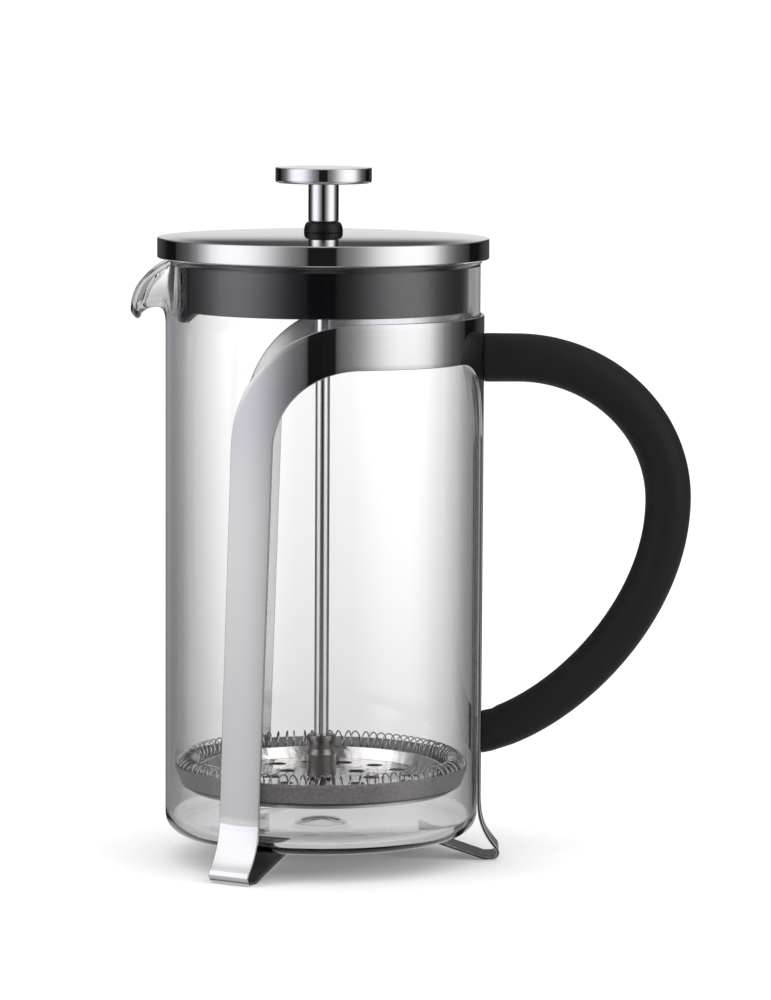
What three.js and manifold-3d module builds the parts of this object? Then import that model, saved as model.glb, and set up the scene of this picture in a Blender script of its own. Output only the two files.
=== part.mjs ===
// French press: a glass beaker in a polished strip stand, with a lid and a plunger.
// Millimetres, +Z up. The handle points along +X and the spout along -X.
// The origin is the centre of the footprint, at table level.

import * as THREE from 'three';
import { mergeVertices } from 'three/addons/utils/BufferGeometryUtils.js';
import Module from 'manifold-3d';

const wasm = await Module();
wasm.setup();

// ---- Driving dimensions -------------------------------------------------------------

const FACE_GAP = 0.1; // between faces that are clamped together
const FIT_GAP = 0.3; // between a piece and the seat or bore that holds it

// Beaker
const BEAKER_R = 48.5; // outside radius of the glass
const BEAKER_WALL = 2.3;
const BEAKER_SEAT = 8.4; // height of the underside above the table
const BEAKER_RIM = 187.2; // height of the rim above the table
const BASE_THICKNESS = 4;
const BASE_CORNER = 6; // outside corner radius
const PUNT_R = 9; // the pushed-up centre of the underside
const PUNT_DEPTH = 1.2;
const RIM_BEAD = 0.6; // how far the rim stands out
const SPOUT_OUT = 11.7; // reach of the lip beyond the wall
const SPOUT_DROP = 17.7; // how far the lip hangs below the rim
const SPOUT_DEPTH = 21.2; // height of the drawn-out part of the wall
const SPOUT_WIDTH = 31;

// Stand: one strip bent round the beaker, with three legs
const STRIP = 1; // thickness
const STRIP_WIDTH = 13.8;
const BAND_DROP = 17.7; // from the rim down to the band's upper edge
const BAND_REACH = 65.6; // straight run each way from the handle, along the strip
const ARM_RUN = 33.2; // the quarter ellipse from band to leg
const ARM_DROP = 31.7;
const LEG_LEAN = 3.9; // how far a side leg drifts towards the spout on its way down
const ARCH_RUN = 20; // the fillet between the band and the handle leg
const ARCH_DROP = 26;
const FLARE_TOP = 20; // the legs leave the glass below this height
const FOOT_REACH = 3.8; // from the strip's middle to the centre of the toe bend
const TOE_R = 2;
const TOE_FLAT = 2.3;
const FOOT_RETURN = 20.5; // run of the tongue that carries the glass

// Handle
const HANDLE_D_TOP = 15.1;
const HANDLE_D_LOW = 13;
const HANDLE_REACH = 57.2; // from the strip to the middle line of the grip
const HANDLE_STRAIGHT = 10.3; // straight run out of the stand at the upper end
const HANDLE_DROP = 13.3; // from the band's upper edge to the upper end's middle line
const HANDLE_WAIST = 112.3; // height of the furthest point
const HANDLE_LOW = 39.4; // height of the lower end's middle line
const SCREW_R = 1.6;
const SCREW_HEAD_R = 3;
const SCREW_LENGTH = 8;
const LOW_SCREW_RISE = 1.9; // the lower screw sits above the end's middle line
const INSERT_WALL = 1.25;

// Lid
const RIM_CLEAR = 1.2; // between the beaker's rim and the lid's skirt
const LID_SKIRT = 6.1; // height of the cover's skirt
const LID_SHEET = 0.8;
const LID_DOME = 1.7; // rise of the cover's middle
const LID_LAP = 0.5; // how far the skirt hangs below the rim
const COLLAR_CLEAR = 1.3; // between the glass and the collar
const COLLAR_WALL = 2;
const COLLAR_DEPTH = 16.4; // how far the collar reaches below the rim
const COLLAR_PLATE = 2;
const STRAINER_DROP = 3.4; // the strainer reaches below the collar
const STRAINER_ANGLE = 27; // half angle of the strainer, in degrees
const SLOT_WIDTH = 1.5;
const SLOT_HEIGHT = 13;
const SLOT_PAIRS = 4;
const SLOT_PITCH = 7; // degrees
const BUSH_WALL = 1.45;
const BUSH_HEAD_WIDTH = 1.5; // how far the bush's head laps over its seat
const BUSH_HEAD = 0.4;
const RETAINER_WIDTH = 3.5;
const RETAINER = 1.2;

// Plunger
const ROD_R = 2.25;
const FLOOR_GAP = 7; // between the glass floor and the nut with the plunger down
const COIL_WIRE_R = 3.1; // outside radius of the coil spring's turns
const COIL_RISE = 1.5; // between the plate and the turns
const PLATE = 0.8; // thickness of the two plates
const MESH = 0.4;
const SPRING_PLATE_LIP = 4.4;
const LIP_FLARE = 1.2; // how far the lip leans outwards
const LIP_CLEAR = 0.7; // between the lip and the coil spring
const MESH_RIM = 7.4; // height of the turned-up edge of the mesh
const MESH_BEND = 2.4; // from the flat of the mesh to its rim
const CROSS_INSET = 2.4; // from the flat of the mesh to the plate's edge
const HUB_R = 4.5;
const HUB_HEIGHT = 13.3;
const NUT_R = 5;
const NUT_HEIGHT = 2.6;
const BUMPER_R = 6;
const BUMPER_HEIGHT = 2.9;
const STEM_R = 4.7;
const STEM_HEIGHT = 11.7;
const STEM_BORE = 7;
const KNOB_R = 14.85;
const KNOB_HEIGHT = 4.8;

// ---- Worked-out places --------------------------------------------------------------

const BEAKER_IN = BEAKER_R - BEAKER_WALL;
const STRIP_R = BEAKER_R + FIT_GAP + STRIP / 2; // middle of the strip's thickness
const STRIP_OUT = STRIP_R + STRIP / 2;
const BAND_TOP = BEAKER_RIM - BAND_DROP;
const BAND_MID = BAND_TOP - STRIP_WIDTH / 2;
const BAND_LOW = BAND_TOP - STRIP_WIDTH;
const HANDLE_TOP = BAND_TOP - HANDLE_DROP;

const LID_R = BEAKER_R + RIM_BEAD + RIM_CLEAR + LID_SHEET;
const COLLAR_R = BEAKER_IN - COLLAR_CLEAR;
const BUSH_R = ROD_R + FIT_GAP + BUSH_WALL;
const BUSH_HEAD_R = BUSH_R + BUSH_HEAD_WIDTH;
const FLANGE_Z = BEAKER_RIM + FIT_GAP; // the collar's flange rests on the rim
const SKIRT_Z = BEAKER_RIM - LID_LAP;
const LID_EDGE = SKIRT_Z + LID_SKIRT;
const LID_TOP = LID_EDGE + LID_DOME;
const PLATE_TOP = LID_EDGE - LID_SHEET - FIT_GAP;
const BUSH_TOP = LID_TOP; // its head is sunk into the cover
const BUSH_SEAT = BUSH_TOP - BUSH_HEAD - FACE_GAP;

const BEAKER_FLOOR = BEAKER_SEAT + BASE_THICKNESS;
const NUT_Z = BEAKER_FLOOR + FLOOR_GAP;
const CROSS_Z = NUT_Z + NUT_HEIGHT + FIT_GAP;
const MESH_Z = CROSS_Z + PLATE + FIT_GAP;
const SPRING_PLATE_Z = MESH_Z + MESH + FIT_GAP;
const HUB_Z = SPRING_PLATE_Z + PLATE + FIT_GAP;
const COIL_Z = HUB_Z + COIL_RISE + COIL_WIRE_R;
const MESH_R = BEAKER_IN - FIT_GAP - FACE_GAP;
const MESH_FLAT_R = MESH_R - MESH_BEND;
const COIL_R = MESH_R - MESH - FIT_GAP - COIL_WIRE_R; // middle of the coil spring
const LIP_R = COIL_R - COIL_WIRE_R - LIP_CLEAR;
const SPRING_PLATE_R = LIP_R - LIP_FLARE;
const CROSS_PLATE_R = MESH_FLAT_R - CROSS_INSET;
const BUMPER_Z = BUSH_TOP + FIT_GAP;
const STEM_Z = BUMPER_Z + BUMPER_HEIGHT + FACE_GAP;
const KNOB_Z = STEM_Z + STEM_HEIGHT + FACE_GAP;

// ---- Materials ----------------------------------------------------------------------

function finish(color, roughness, metalness, extra = {}) {
  return new THREE.MeshStandardMaterial({ color, roughness, metalness, ...extra });
}

const POLISHED = () => finish(0xd9d8dc, 0.08, 1);
const SATIN_STEEL = () => finish(0xb9b5b2, 0.3, 1);
const WOVEN_STEEL = () => finish(0x8b8580, 0.45, 0.9);
const CLEAR_GLASS = () => finish(0xf1f3f3, 0.03, 0, { transparent: true, opacity: 0.3 });
const GLOSS_BLACK = () => finish(0x1b1a1e, 0.15, 0);
const SOFT_BLACK = () => finish(0x1d1d1e, 0.6, 0);
const RUBBER_BLACK = () => finish(0x141415, 0.7, 0);
const BRASS = () => finish(0xb79a58, 0.35, 1);

// ---- Shared shape helpers -----------------------------------------------------------

// A closed mesh with its shared corners merged and its zero-area triangles dropped.
function welded(geometry) {
  const bare = geometry.clone();
  bare.deleteAttribute('normal');
  bare.deleteAttribute('uv');
  const merged = mergeVertices(bare, 1e-4);
  const index = merged.index.array;
  const kept = [];
  for (let i = 0; i < index.length; i += 3) {
    const [a, b, c] = [index[i], index[i + 1], index[i + 2]];
    if (a !== b && b !== c && c !== a) kept.push(a, b, c);
  }
  merged.setIndex(kept);
  return merged;
}

function solid(geometry) {
  const mesh = welded(geometry);
  return new wasm.Manifold(new wasm.Mesh({
    numProp: 3,
    vertProperties: new Float32Array(mesh.attributes.position.array),
    triVerts: new Uint32Array(mesh.index.array),
  }));
}

function geometryOf(manifold) {
  const { vertProperties, triVerts } = manifold.getMesh();
  const geometry = new THREE.BufferGeometry();
  geometry.setAttribute('position', new THREE.BufferAttribute(vertProperties, 3));
  geometry.setIndex(new THREE.BufferAttribute(triVerts, 1));
  return geometry;
}

function cut(geometry, tools) {
  let body = solid(geometry);
  for (const tool of tools) body = body.subtract(solid(tool));
  return geometryOf(body);
}

// Turns an outline of [radius, height] points, taken upwards on the outside, round Z.
function turned(outline, segments = 32) {
  const points = outline.map(([r, z]) => new THREE.Vector2(r, z));
  return welded(new THREE.LatheGeometry(points, segments).rotateX(Math.PI / 2));
}

// A ring with a bore: the outline goes up the outside and down the bore.
function ring(inner, outer, low, high, segments = 32) {
  return turned([[inner, low], [outer, low], [outer, high], [inner, high], [inner, low]],
    segments);
}

// Points of a circular arc, angles in degrees.
function arc(centreR, centreZ, radius, from, to, steps) {
  const points = [];
  for (let i = 0; i <= steps; i++) {
    const angle = THREE.MathUtils.degToRad(from + (to - from) * i / steps);
    points.push([centreR + radius * Math.cos(angle), centreZ + radius * Math.sin(angle)]);
  }
  return points;
}

// A round bar along X, from one radius to another, for holes and screws.
function barAlongX(fromX, toX, fromR, toR, z, segments = 16) {
  return new THREE.CylinderGeometry(toR, fromR, toX - fromX, segments)
    .rotateZ(-Math.PI / 2).translate((fromX + toX) / 2, 0, z);
}

// Moves every corner of a geometry through a function of its position.
function reshaped(geometry, place) {
  const shape = welded(geometry);
  const position = shape.attributes.position;
  const corner = new THREE.Vector3();
  for (let i = 0; i < position.count; i++) {
    corner.fromBufferAttribute(position, i);
    place(corner);
    position.setXYZ(i, corner.x, corner.y, corner.z);
  }
  return shape;
}

function piece(name, geometry, material) {
  const mesh = new THREE.Mesh(geometry, material);
  mesh.name = name;
  return mesh;
}

// ---- Beaker -------------------------------------------------------------------------

// Middle surface of the wall: a plain cylinder, drawn out and down into the spout.
function wallPoint(bearing, height, target) {
  const middle = BEAKER_R - BEAKER_WALL / 2;
  const halfAngle = SPOUT_WIDTH / 2 / middle;
  const share = Math.min(Math.abs(bearing) / halfAngle, 1);
  const pull = Math.cos(share * Math.PI / 2) ** 2;
  const rise = THREE.MathUtils.clamp((height - BEAKER_RIM) / SPOUT_DEPTH + 1, 0, 1.02);
  const out = SPOUT_OUT * (1 - (1 - pull) ** 3) * rise ** 1.6;
  const drop = SPOUT_DROP * pull * rise ** 2;
  const r = middle + out;
  return target.set(-r * Math.cos(bearing), -r * Math.sin(bearing), height - drop);
}

function beaker() {
  const middle = BEAKER_R - BEAKER_WALL / 2;
  const innerCorner = BASE_CORNER - BEAKER_WALL / 2;
  const spoutZ = BEAKER_RIM - SPOUT_DEPTH;
  const steps = [0, 0.25, 0.44, 0.6, 0.74, 0.85];
  const wall = steps.map((share) => spoutZ + SPOUT_DEPTH * share);
  const bead = BEAKER_RIM - 1.4;
  const outline = [
    [0, BEAKER_SEAT + PUNT_DEPTH],
    [PUNT_R * 0.6, BEAKER_SEAT + PUNT_DEPTH * 0.7],
    [PUNT_R, BEAKER_SEAT],
    ...arc(BEAKER_R - BASE_CORNER, BEAKER_SEAT + BASE_CORNER, BASE_CORNER, -90, 0, 4),
    ...wall.map((z) => [BEAKER_R, z]),
    [BEAKER_R + RIM_BEAD, bead],
    [BEAKER_R + RIM_BEAD * 0.7, BEAKER_RIM - 0.4],
    [BEAKER_R - BEAKER_WALL * 0.4, BEAKER_RIM],
    [BEAKER_IN + 0.2, BEAKER_RIM - 0.4],
    [BEAKER_IN, bead],
    ...wall.reverse().map((z) => [BEAKER_IN, z]),
    ...arc(BEAKER_IN - innerCorner, BEAKER_FLOOR + innerCorner, innerCorner, 0, -90, 3),
    [0, BEAKER_FLOOR],
  ];
  const normal = new THREE.Vector3();
  const here = new THREE.Vector3();
  const along = new THREE.Vector3();
  const up = new THREE.Vector3();
  const step = 0.001;
  return reshaped(turned(outline, 48), (corner) => {
    const r = Math.hypot(corner.x, corner.y);
    if (r < 1e-6) return;
    const even = Math.atan2(-corner.y, -corner.x);
    const bearing = even - 0.45 * Math.sin(even); // columns crowd together at the spout
    wallPoint(bearing, corner.z, here);
    wallPoint(bearing + step, corner.z, along).sub(here);
    wallPoint(bearing, corner.z + step, up).sub(here);
    normal.crossVectors(along, up).normalize();
    corner.copy(here).addScaledVector(normal, r - middle);
  });
}

// ---- Stand --------------------------------------------------------------------------

// Stations along the strip from the handle side to the end of one foot. Each has its
// place along the band (s), height, radius, width direction, outward normal, half width
// and how much it follows the round of the beaker (curl).
function onBeaker(s, z, heading, half) {
  return { s, z, r: STRIP_R, ws: -heading.y, wz: heading.x, nr: 1, nz: 0, half, curl: 1 };
}

function footStations(s, lean, half, thickness) {
  const toe = { r: STRIP_R + FOOT_REACH, z: TOE_R + thickness / 2 };
  const start = THREE.MathUtils.degToRad(40); // where the flare meets the toe bend
  const toeStart = new THREE.Vector2(
    toe.r + TOE_R * Math.cos(start), toe.z + TOE_R * Math.sin(start));
  const heading = new THREE.Vector2(Math.sin(start), -Math.cos(start));
  const profile = new THREE.Path().moveTo(STRIP_R, FLARE_TOP);
  profile.bezierCurveTo(STRIP_R, FLARE_TOP * 0.6, toeStart.x - heading.x * 5.5,
    toeStart.y - heading.y * 5.5, toeStart.x, toeStart.y);
  profile.absarc(toe.r, toe.z, TOE_R, start, -Math.PI / 2, true);
  profile.lineTo(toe.r - TOE_FLAT, thickness / 2);
  const tongueEnd = BEAKER_SEAT - FIT_GAP - thickness / 2;
  profile.lineTo(toe.r - TOE_FLAT - FOOT_RETURN, tongueEnd);
  const stations = [];
  const steps = [5, 5, 1, 1];
  profile.curves.forEach((curve, number) => {
    for (let i = 1; i <= steps[number]; i++) {
      const point = curve.getPoint(i / steps[number]);
      const next = profile.curves[number + 1];
      const tangent = curve.getTangent(i / steps[number]);
      if (i === steps[number] && next) tangent.add(next.getTangent(0)).normalize();
      const curl = number === 0 ? 1 - i / steps[0] : 0;
      stations.push({ s, z: point.y, r: point.x, ws: 1, wz: lean * curl, half, curl,
        nr: -tangent.y, nz: tangent.x });
    }
  });
  return stations;
}

function sideStations() {
  const half = STRIP_WIDTH / 2;
  const legTop = BAND_MID - ARM_DROP;
  const lean = LEG_LEAN / (legTop - FLARE_TOP);
  const path = new THREE.Path().moveTo(0, BAND_MID);
  path.lineTo(BAND_REACH, BAND_MID);
  path.absellipse(BAND_REACH, legTop, ARM_RUN, ARM_DROP, Math.PI / 2, 0, true);
  path.lineTo(BAND_REACH + ARM_RUN + LEG_LEAN, FLARE_TOP);
  const stations = [onBeaker(0, BAND_MID, new THREE.Vector2(1, 0), half)];
  const steps = [12, 8, 3];
  path.curves.forEach((curve, number) => {
    for (let i = 1; i <= steps[number]; i++) {
      const point = curve.getPoint(i / steps[number]);
      const heading = curve.getTangent(i / steps[number]);
      stations.push(onBeaker(point.x, point.y, heading, half));
    }
  });
  const foot = footStations(BAND_REACH + ARM_RUN + LEG_LEAN, lean, half, STRIP);
  return [...stations, ...foot];
}

function handleLegStations(thickness) {
  const half = STRIP_WIDTH / 2;
  const down = new THREE.Vector2(0, -1);
  const stations = [onBeaker(0, BAND_LOW + 0.6, down, half + ARCH_RUN)];
  const steps = 7;
  for (let i = 0; i <= steps; i++) {
    const angle = (Math.PI / 2) * (1 - i / steps);
    const z = BAND_LOW - ARCH_DROP * (1 - Math.sin(angle));
    stations.push(onBeaker(0, z, down, half + ARCH_RUN * (1 - Math.cos(angle))));
  }
  stations.push(onBeaker(0, FLARE_TOP, down, half));
  return [...stations, ...footStations(0, 0, half, thickness)];
}

// Bends a straight bar so that it follows the stations.
function bentStrip(stations, thickness, across) {
  const bar = new THREE.BoxGeometry(1, 1, 1, across, stations.length - 1, 1);
  return reshaped(bar, (corner) => {
    const at = stations[Math.round((corner.y + 0.5) * (stations.length - 1))];
    const u = -corner.x * 2 * at.half;
    const t = corner.z * thickness;
    const turn = at.ws * u / STRIP_R;
    const round = [at.r + (STRIP_R + t) * Math.cos(turn) - STRIP_R,
      (STRIP_R + t) * Math.sin(turn)];
    const flat = [at.r + at.nr * t, at.ws * u];
    const outward = THREE.MathUtils.lerp(flat[0], round[0], at.curl);
    const sideways = THREE.MathUtils.lerp(flat[1], round[1], at.curl);
    const bearing = at.s / STRIP_R;
    corner.set(
      outward * Math.cos(bearing) - sideways * Math.sin(bearing),
      outward * Math.sin(bearing) + sideways * Math.cos(bearing),
      at.z + at.wz * u + at.nz * t);
  });
}

function screwHeights() {
  return { upper: HANDLE_TOP, lower: HANDLE_LOW + LOW_SCREW_RISE };
}

function stand() {
  const side = sideStations();
  const mirrored = side.slice(1).reverse()
    .map((at) => ({ ...at, s: -at.s, ws: -at.ws }));
  const strap = bentStrip([...mirrored, ...side], STRIP, 2);
  const legThickness = STRIP - FACE_GAP; // its top tucks into the band
  const leg = bentStrip(handleLegStations(legThickness), legThickness, 8);
  let body = solid(strap).add(solid(leg));
  for (const z of Object.values(screwHeights())) {
    const spread = SCREW_HEAD_R - SCREW_R;
    const hole = barAlongX(STRIP_R - STRIP, STRIP_R + STRIP,
      SCREW_HEAD_R + FIT_GAP + spread / 2, SCREW_R + FIT_GAP - spread / 2 + 0.2, z);
    body = body.subtract(solid(hole));
    const shank = barAlongX(STRIP_R, STRIP_R + STRIP, SCREW_R + FIT_GAP,
      SCREW_R + FIT_GAP, z);
    body = body.subtract(solid(shank));
  }
  return geometryOf(body);
}

// ---- Handle -------------------------------------------------------------------------

function handleLine() {
  const far = STRIP_OUT + HANDLE_REACH;
  const near = STRIP_OUT - 3; // runs into the stand, where the seat is cut
  const line = new THREE.CurvePath();
  const at = (x, z) => new THREE.Vector3(x, 0, z);
  const bend = STRIP_OUT + HANDLE_STRAIGHT;
  const upper = HANDLE_TOP - HANDLE_WAIST;
  const lower = HANDLE_WAIST - HANDLE_LOW;
  const slope = THREE.MathUtils.degToRad(12);
  const lead = HANDLE_REACH * 0.43;
  const quarter = 0.55; // makes the upper bend a quarter of an ellipse
  line.add(new THREE.LineCurve3(at(near, HANDLE_TOP), at(bend, HANDLE_TOP)));
  line.add(new THREE.CubicBezierCurve3(at(bend, HANDLE_TOP),
    at(bend + (far - bend) * quarter, HANDLE_TOP),
    at(far, HANDLE_WAIST + upper * quarter), at(far, HANDLE_WAIST)));
  line.add(new THREE.CubicBezierCurve3(at(far, HANDLE_WAIST),
    at(far, HANDLE_WAIST - lower * 0.49),
    at(STRIP_OUT + lead * Math.cos(slope), HANDLE_LOW + lead * Math.sin(slope)),
    at(STRIP_OUT, HANDLE_LOW)));
  line.add(new THREE.LineCurve3(at(STRIP_OUT, HANDLE_LOW),
    at(near, HANDLE_LOW - (STRIP_OUT - near) * Math.tan(slope))));
  return line;
}

function handleGrip() {
  const line = handleLine();
  const steps = 30;
  const rings = [];
  for (let i = 0; i <= steps; i++) {
    const share = i / steps;
    const before = line.getPoint(Math.max(share - 0.004, 0));
    const after = line.getPoint(Math.min(share + 0.004, 1));
    const heading = after.sub(before).normalize();
    rings.push({ centre: line.getPoint(share), heading,
      r: THREE.MathUtils.lerp(HANDLE_D_TOP, HANDLE_D_LOW, share) / 2 });
  }
  const bar = new THREE.CylinderGeometry(1, 1, 1, 12, steps);
  const grip = reshaped(bar, (corner) => {
    const { centre, heading, r } = rings[Math.round((corner.y + 0.5) * steps)];
    const [across, sideways] = [corner.x * r, -corner.z * r];
    corner.set(centre.x + heading.z * across, sideways, centre.z - heading.x * across);
  });
  const seatR = STRIP_OUT + FIT_GAP;
  const seat = new THREE.CylinderGeometry(seatR, seatR, BAND_TOP * 2, 64).rotateX(Math.PI / 2);
  const holeR = SCREW_R + FIT_GAP + INSERT_WALL + FIT_GAP;
  const holes = Object.values(screwHeights()).map((z) => barAlongX(
    STRIP_R, seatR + SCREW_LENGTH + FIT_GAP, holeR, holeR, z));
  return cut(grip, [seat, ...holes]);
}

function handleScrew(z) {
  const head = STRIP_R - STRIP / 2 + FACE_GAP;
  const neck = head + STRIP;
  const end = STRIP_OUT + SCREW_LENGTH;
  const outline = [[0, head], [SCREW_HEAD_R, head], [SCREW_R, neck], [SCREW_R, end], [0, end]];
  return turned(outline, 16).rotateY(Math.PI / 2).translate(0, 0, z);
}

function handleInsert(z) {
  const start = STRIP_OUT + FIT_GAP + FACE_GAP;
  const bore = SCREW_R + FIT_GAP;
  return ring(bore, bore + INSERT_WALL, start, start + SCREW_LENGTH - FIT_GAP, 16)
    .rotateY(Math.PI / 2).translate(0, 0, z);
}

function handleFasteners() {
  return Object.entries(screwHeights()).flatMap(([end, z]) => [
    piece(`handle_screw_${end}`, handleScrew(z), SATIN_STEEL()),
    piece(`handle_insert_${end}`, handleInsert(z), BRASS()),
  ]);
}

// ---- Lid ----------------------------------------------------------------------------

function lidCover() {
  const hole = BUSH_R + FIT_GAP;
  const corner = 0.8;
  const inner = LID_R - LID_SHEET;
  const under = LID_EDGE - LID_SHEET;
  const sink = BUSH_HEAD_R + FIT_GAP;
  return turned([
    [hole, BUSH_SEAT - LID_SHEET],
    [sink + LID_SHEET, BUSH_SEAT - LID_SHEET],
    [LID_R * 0.55, under + LID_DOME * 0.7],
    [inner, under],
    [inner, SKIRT_Z],
    [LID_R, SKIRT_Z],
    ...arc(LID_R - corner, LID_EDGE - corner, corner, 0, 90, 2),
    [LID_R * 0.8, LID_EDGE + LID_DOME * 0.36],
    [LID_R * 0.55, LID_EDGE + LID_DOME * 0.7],
    [LID_R * 0.3, LID_EDGE + LID_DOME * 0.91],
    [sink, LID_TOP],
    [sink, BUSH_SEAT],
    [hole, BUSH_SEAT],
    [hole, BUSH_SEAT - LID_SHEET],
  ], 48);
}

// The collar's plate and flange fill the cover; its skirt hangs in the beaker.
function lidCollar() {
  const low = BEAKER_RIM - COLLAR_DEPTH;
  const inner = COLLAR_R - COLLAR_WALL;
  const plateLow = PLATE_TOP - COLLAR_PLATE;
  const hole = BUSH_R + FIT_GAP;
  const flangeR = LID_R - LID_SHEET - FIT_GAP;
  const ringWall = 2.4;
  const outline = [
    [hole, plateLow], [inner, plateLow], [inner, low - STRAINER_DROP],
    [COLLAR_R, low - STRAINER_DROP], [COLLAR_R, FLANGE_Z - 1.6],
    [COLLAR_R + 0.7, FLANGE_Z - 1.2], [COLLAR_R + 0.7, FLANGE_Z], [flangeR, FLANGE_Z],
    [flangeR, PLATE_TOP - ringWall], [flangeR, PLATE_TOP], [hole, PLATE_TOP],
    [hole, plateLow],
  ];
  const edge = THREE.MathUtils.degToRad(STRAINER_ANGLE);
  const body = reshaped(turned(outline, 60), (corner) => {
    if (corner.z > low - STRAINER_DROP + 0.01) return;
    const bearing = Math.abs(Math.atan2(corner.y, -corner.x));
    const blend = THREE.MathUtils.smoothstep(bearing, edge - 0.13, edge + 0.13);
    corner.z += STRAINER_DROP * blend;
  });
  const slots = [];
  for (let i = -SLOT_PAIRS; i <= SLOT_PAIRS; i++) {
    const bearing = THREE.MathUtils.degToRad(SLOT_PITCH * i);
    const slot = new THREE.BoxGeometry(3 * COLLAR_WALL, SLOT_WIDTH, SLOT_HEIGHT);
    slot.translate(-(COLLAR_R - COLLAR_WALL / 2), 0, low + COLLAR_WALL / 2 + SLOT_HEIGHT / 2);
    slots.push(slot.rotateZ(bearing));
  }
  return cut(body, slots);
}

function lidBush() {
  const bore = ROD_R + FIT_GAP;
  const seat = BUSH_SEAT + FACE_GAP;
  const low = PLATE_TOP - COLLAR_PLATE - RETAINER - 1;
  return turned([
    [bore, low], [BUSH_R, low], [BUSH_R, seat], [BUSH_HEAD_R, seat],
    [BUSH_HEAD_R, BUSH_TOP], [bore, BUSH_TOP], [bore, low],
  ], 24);
}

function bushRetainer() {
  const top = PLATE_TOP - COLLAR_PLATE - FACE_GAP;
  return ring(BUSH_R + FACE_GAP, BUSH_R + RETAINER_WIDTH, top - RETAINER, top, 24);
}

// ---- Plunger ------------------------------------------------------------------------

function plungerRod() {
  const high = STEM_Z + STEM_BORE - FIT_GAP;
  return turned([[0, NUT_Z], [ROD_R, NUT_Z], [ROD_R, high], [0, high]], 16);
}

function rodHub() {
  const bore = ROD_R + FACE_GAP;
  const top = HUB_Z + HUB_HEIGHT;
  const waist = HUB_R * 0.86;
  return turned([
    [bore, HUB_Z], [HUB_R, HUB_Z], [HUB_R, HUB_Z + HUB_HEIGHT * 0.55],
    [waist, HUB_Z + HUB_HEIGHT * 0.66], [waist, HUB_Z + HUB_HEIGHT * 0.78],
    [HUB_R, HUB_Z + HUB_HEIGHT * 0.88], [HUB_R, top - 0.4], [HUB_R - 0.4, top],
    [bore, top], [bore, HUB_Z],
  ], 24);
}

// Round holes on a circle, as bars to be cut away.
function holeRing(count, circleR, holeR, z, offset = 0) {
  return Array.from({ length: count }, (_, i) => {
    const angle = 2 * Math.PI * (i + offset) / count;
    const bar = new THREE.CylinderGeometry(holeR, holeR, 6, 6).rotateX(Math.PI / 2);
    return bar.translate(circleR * Math.cos(angle), circleR * Math.sin(angle), z);
  });
}

function springPlate() {
  const bore = ROD_R + FACE_GAP;
  const low = SPRING_PLATE_Z;
  const lip = low + SPRING_PLATE_LIP;
  const outline = [
    [bore, low], [SPRING_PLATE_R, low], [LIP_R, lip],
    [LIP_R - PLATE, lip], [SPRING_PLATE_R - PLATE, low + PLATE],
    [bore, low + PLATE], [bore, low],
  ];
  const holes = [
    ...holeRing(8, SPRING_PLATE_R * 0.42, 2.6, low),
    ...holeRing(16, SPRING_PLATE_R * 0.75, 2.6, low, 0.5),
  ];
  return cut(turned(outline, 40), holes);
}

function springCoil() {
  const outline = arc(COIL_R, COIL_Z, COIL_WIRE_R, -90, 270, 8);
  return turned(outline, 40);
}

function filterMesh() {
  const bore = ROD_R + FACE_GAP;
  const top = MESH_Z + MESH;
  const rim = MESH_Z + MESH_RIM;
  const foot = MESH_R - 0.5;
  return turned([
    [bore, MESH_Z], [MESH_FLAT_R, MESH_Z], [foot, MESH_Z + 1.6], [MESH_R, rim],
    [MESH_R - MESH, rim], [foot - MESH, MESH_Z + 1.9], [MESH_FLAT_R - 0.2, top],
    [bore, top], [bore, MESH_Z],
  ], 40);
}

function crossPlate() {
  const bore = ROD_R + FACE_GAP;
  const disc = ring(bore, CROSS_PLATE_R, CROSS_Z, CROSS_Z + PLATE, 40);
  const holes = [
    ...holeRing(6, CROSS_PLATE_R * 0.36, 3.2, CROSS_Z),
    ...holeRing(12, CROSS_PLATE_R * 0.72, 3.6, CROSS_Z, 0.5),
  ];
  return cut(disc, holes);
}

function hubNut() {
  const middle = NUT_Z + NUT_HEIGHT / 2;
  const bar = (r, height, sides) => new THREE.CylinderGeometry(r, r, height, sides)
    .rotateX(Math.PI / 2).translate(0, 0, middle);
  return cut(bar(NUT_R, NUT_HEIGHT, 6), [bar(ROD_R + FACE_GAP, NUT_HEIGHT * 2, 24)]);
}

function bumperRing() {
  const bore = ROD_R + FIT_GAP;
  const top = BUMPER_Z + BUMPER_HEIGHT;
  return turned([
    [bore, BUMPER_Z], [BUMPER_R - 0.3, BUMPER_Z], [BUMPER_R, BUMPER_Z + 0.3],
    [BUMPER_R, BUMPER_Z + 0.7], [BUMPER_R - 0.4, BUMPER_Z + 1.5],
    [BUMPER_R - 1.1, BUMPER_Z + 2.3], [BUMPER_R - 2, top], [bore, top], [bore, BUMPER_Z],
  ], 24);
}

function knobStem() {
  const bore = ROD_R + FIT_GAP;
  const roof = STEM_Z + STEM_BORE;
  const top = STEM_Z + STEM_HEIGHT;
  return turned([
    [bore, STEM_Z], [STEM_R - 0.3, STEM_Z], [STEM_R, STEM_Z + 0.3], [STEM_R, top], [0, top],
    [0, roof], [bore, roof], [bore, STEM_Z],
  ], 24);
}

function knobDisc() {
  const round = 0.9;
  return turned([
    [0, KNOB_Z],
    ...arc(KNOB_R - round, KNOB_Z + round, round, -90, 0, 2),
    ...arc(KNOB_R - round / 3, KNOB_Z + KNOB_HEIGHT - round / 3, round / 3, 0, 90, 1),
    [0, KNOB_Z + KNOB_HEIGHT],
  ], 36);
}

// ---- Assembly -----------------------------------------------------------------------

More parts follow.
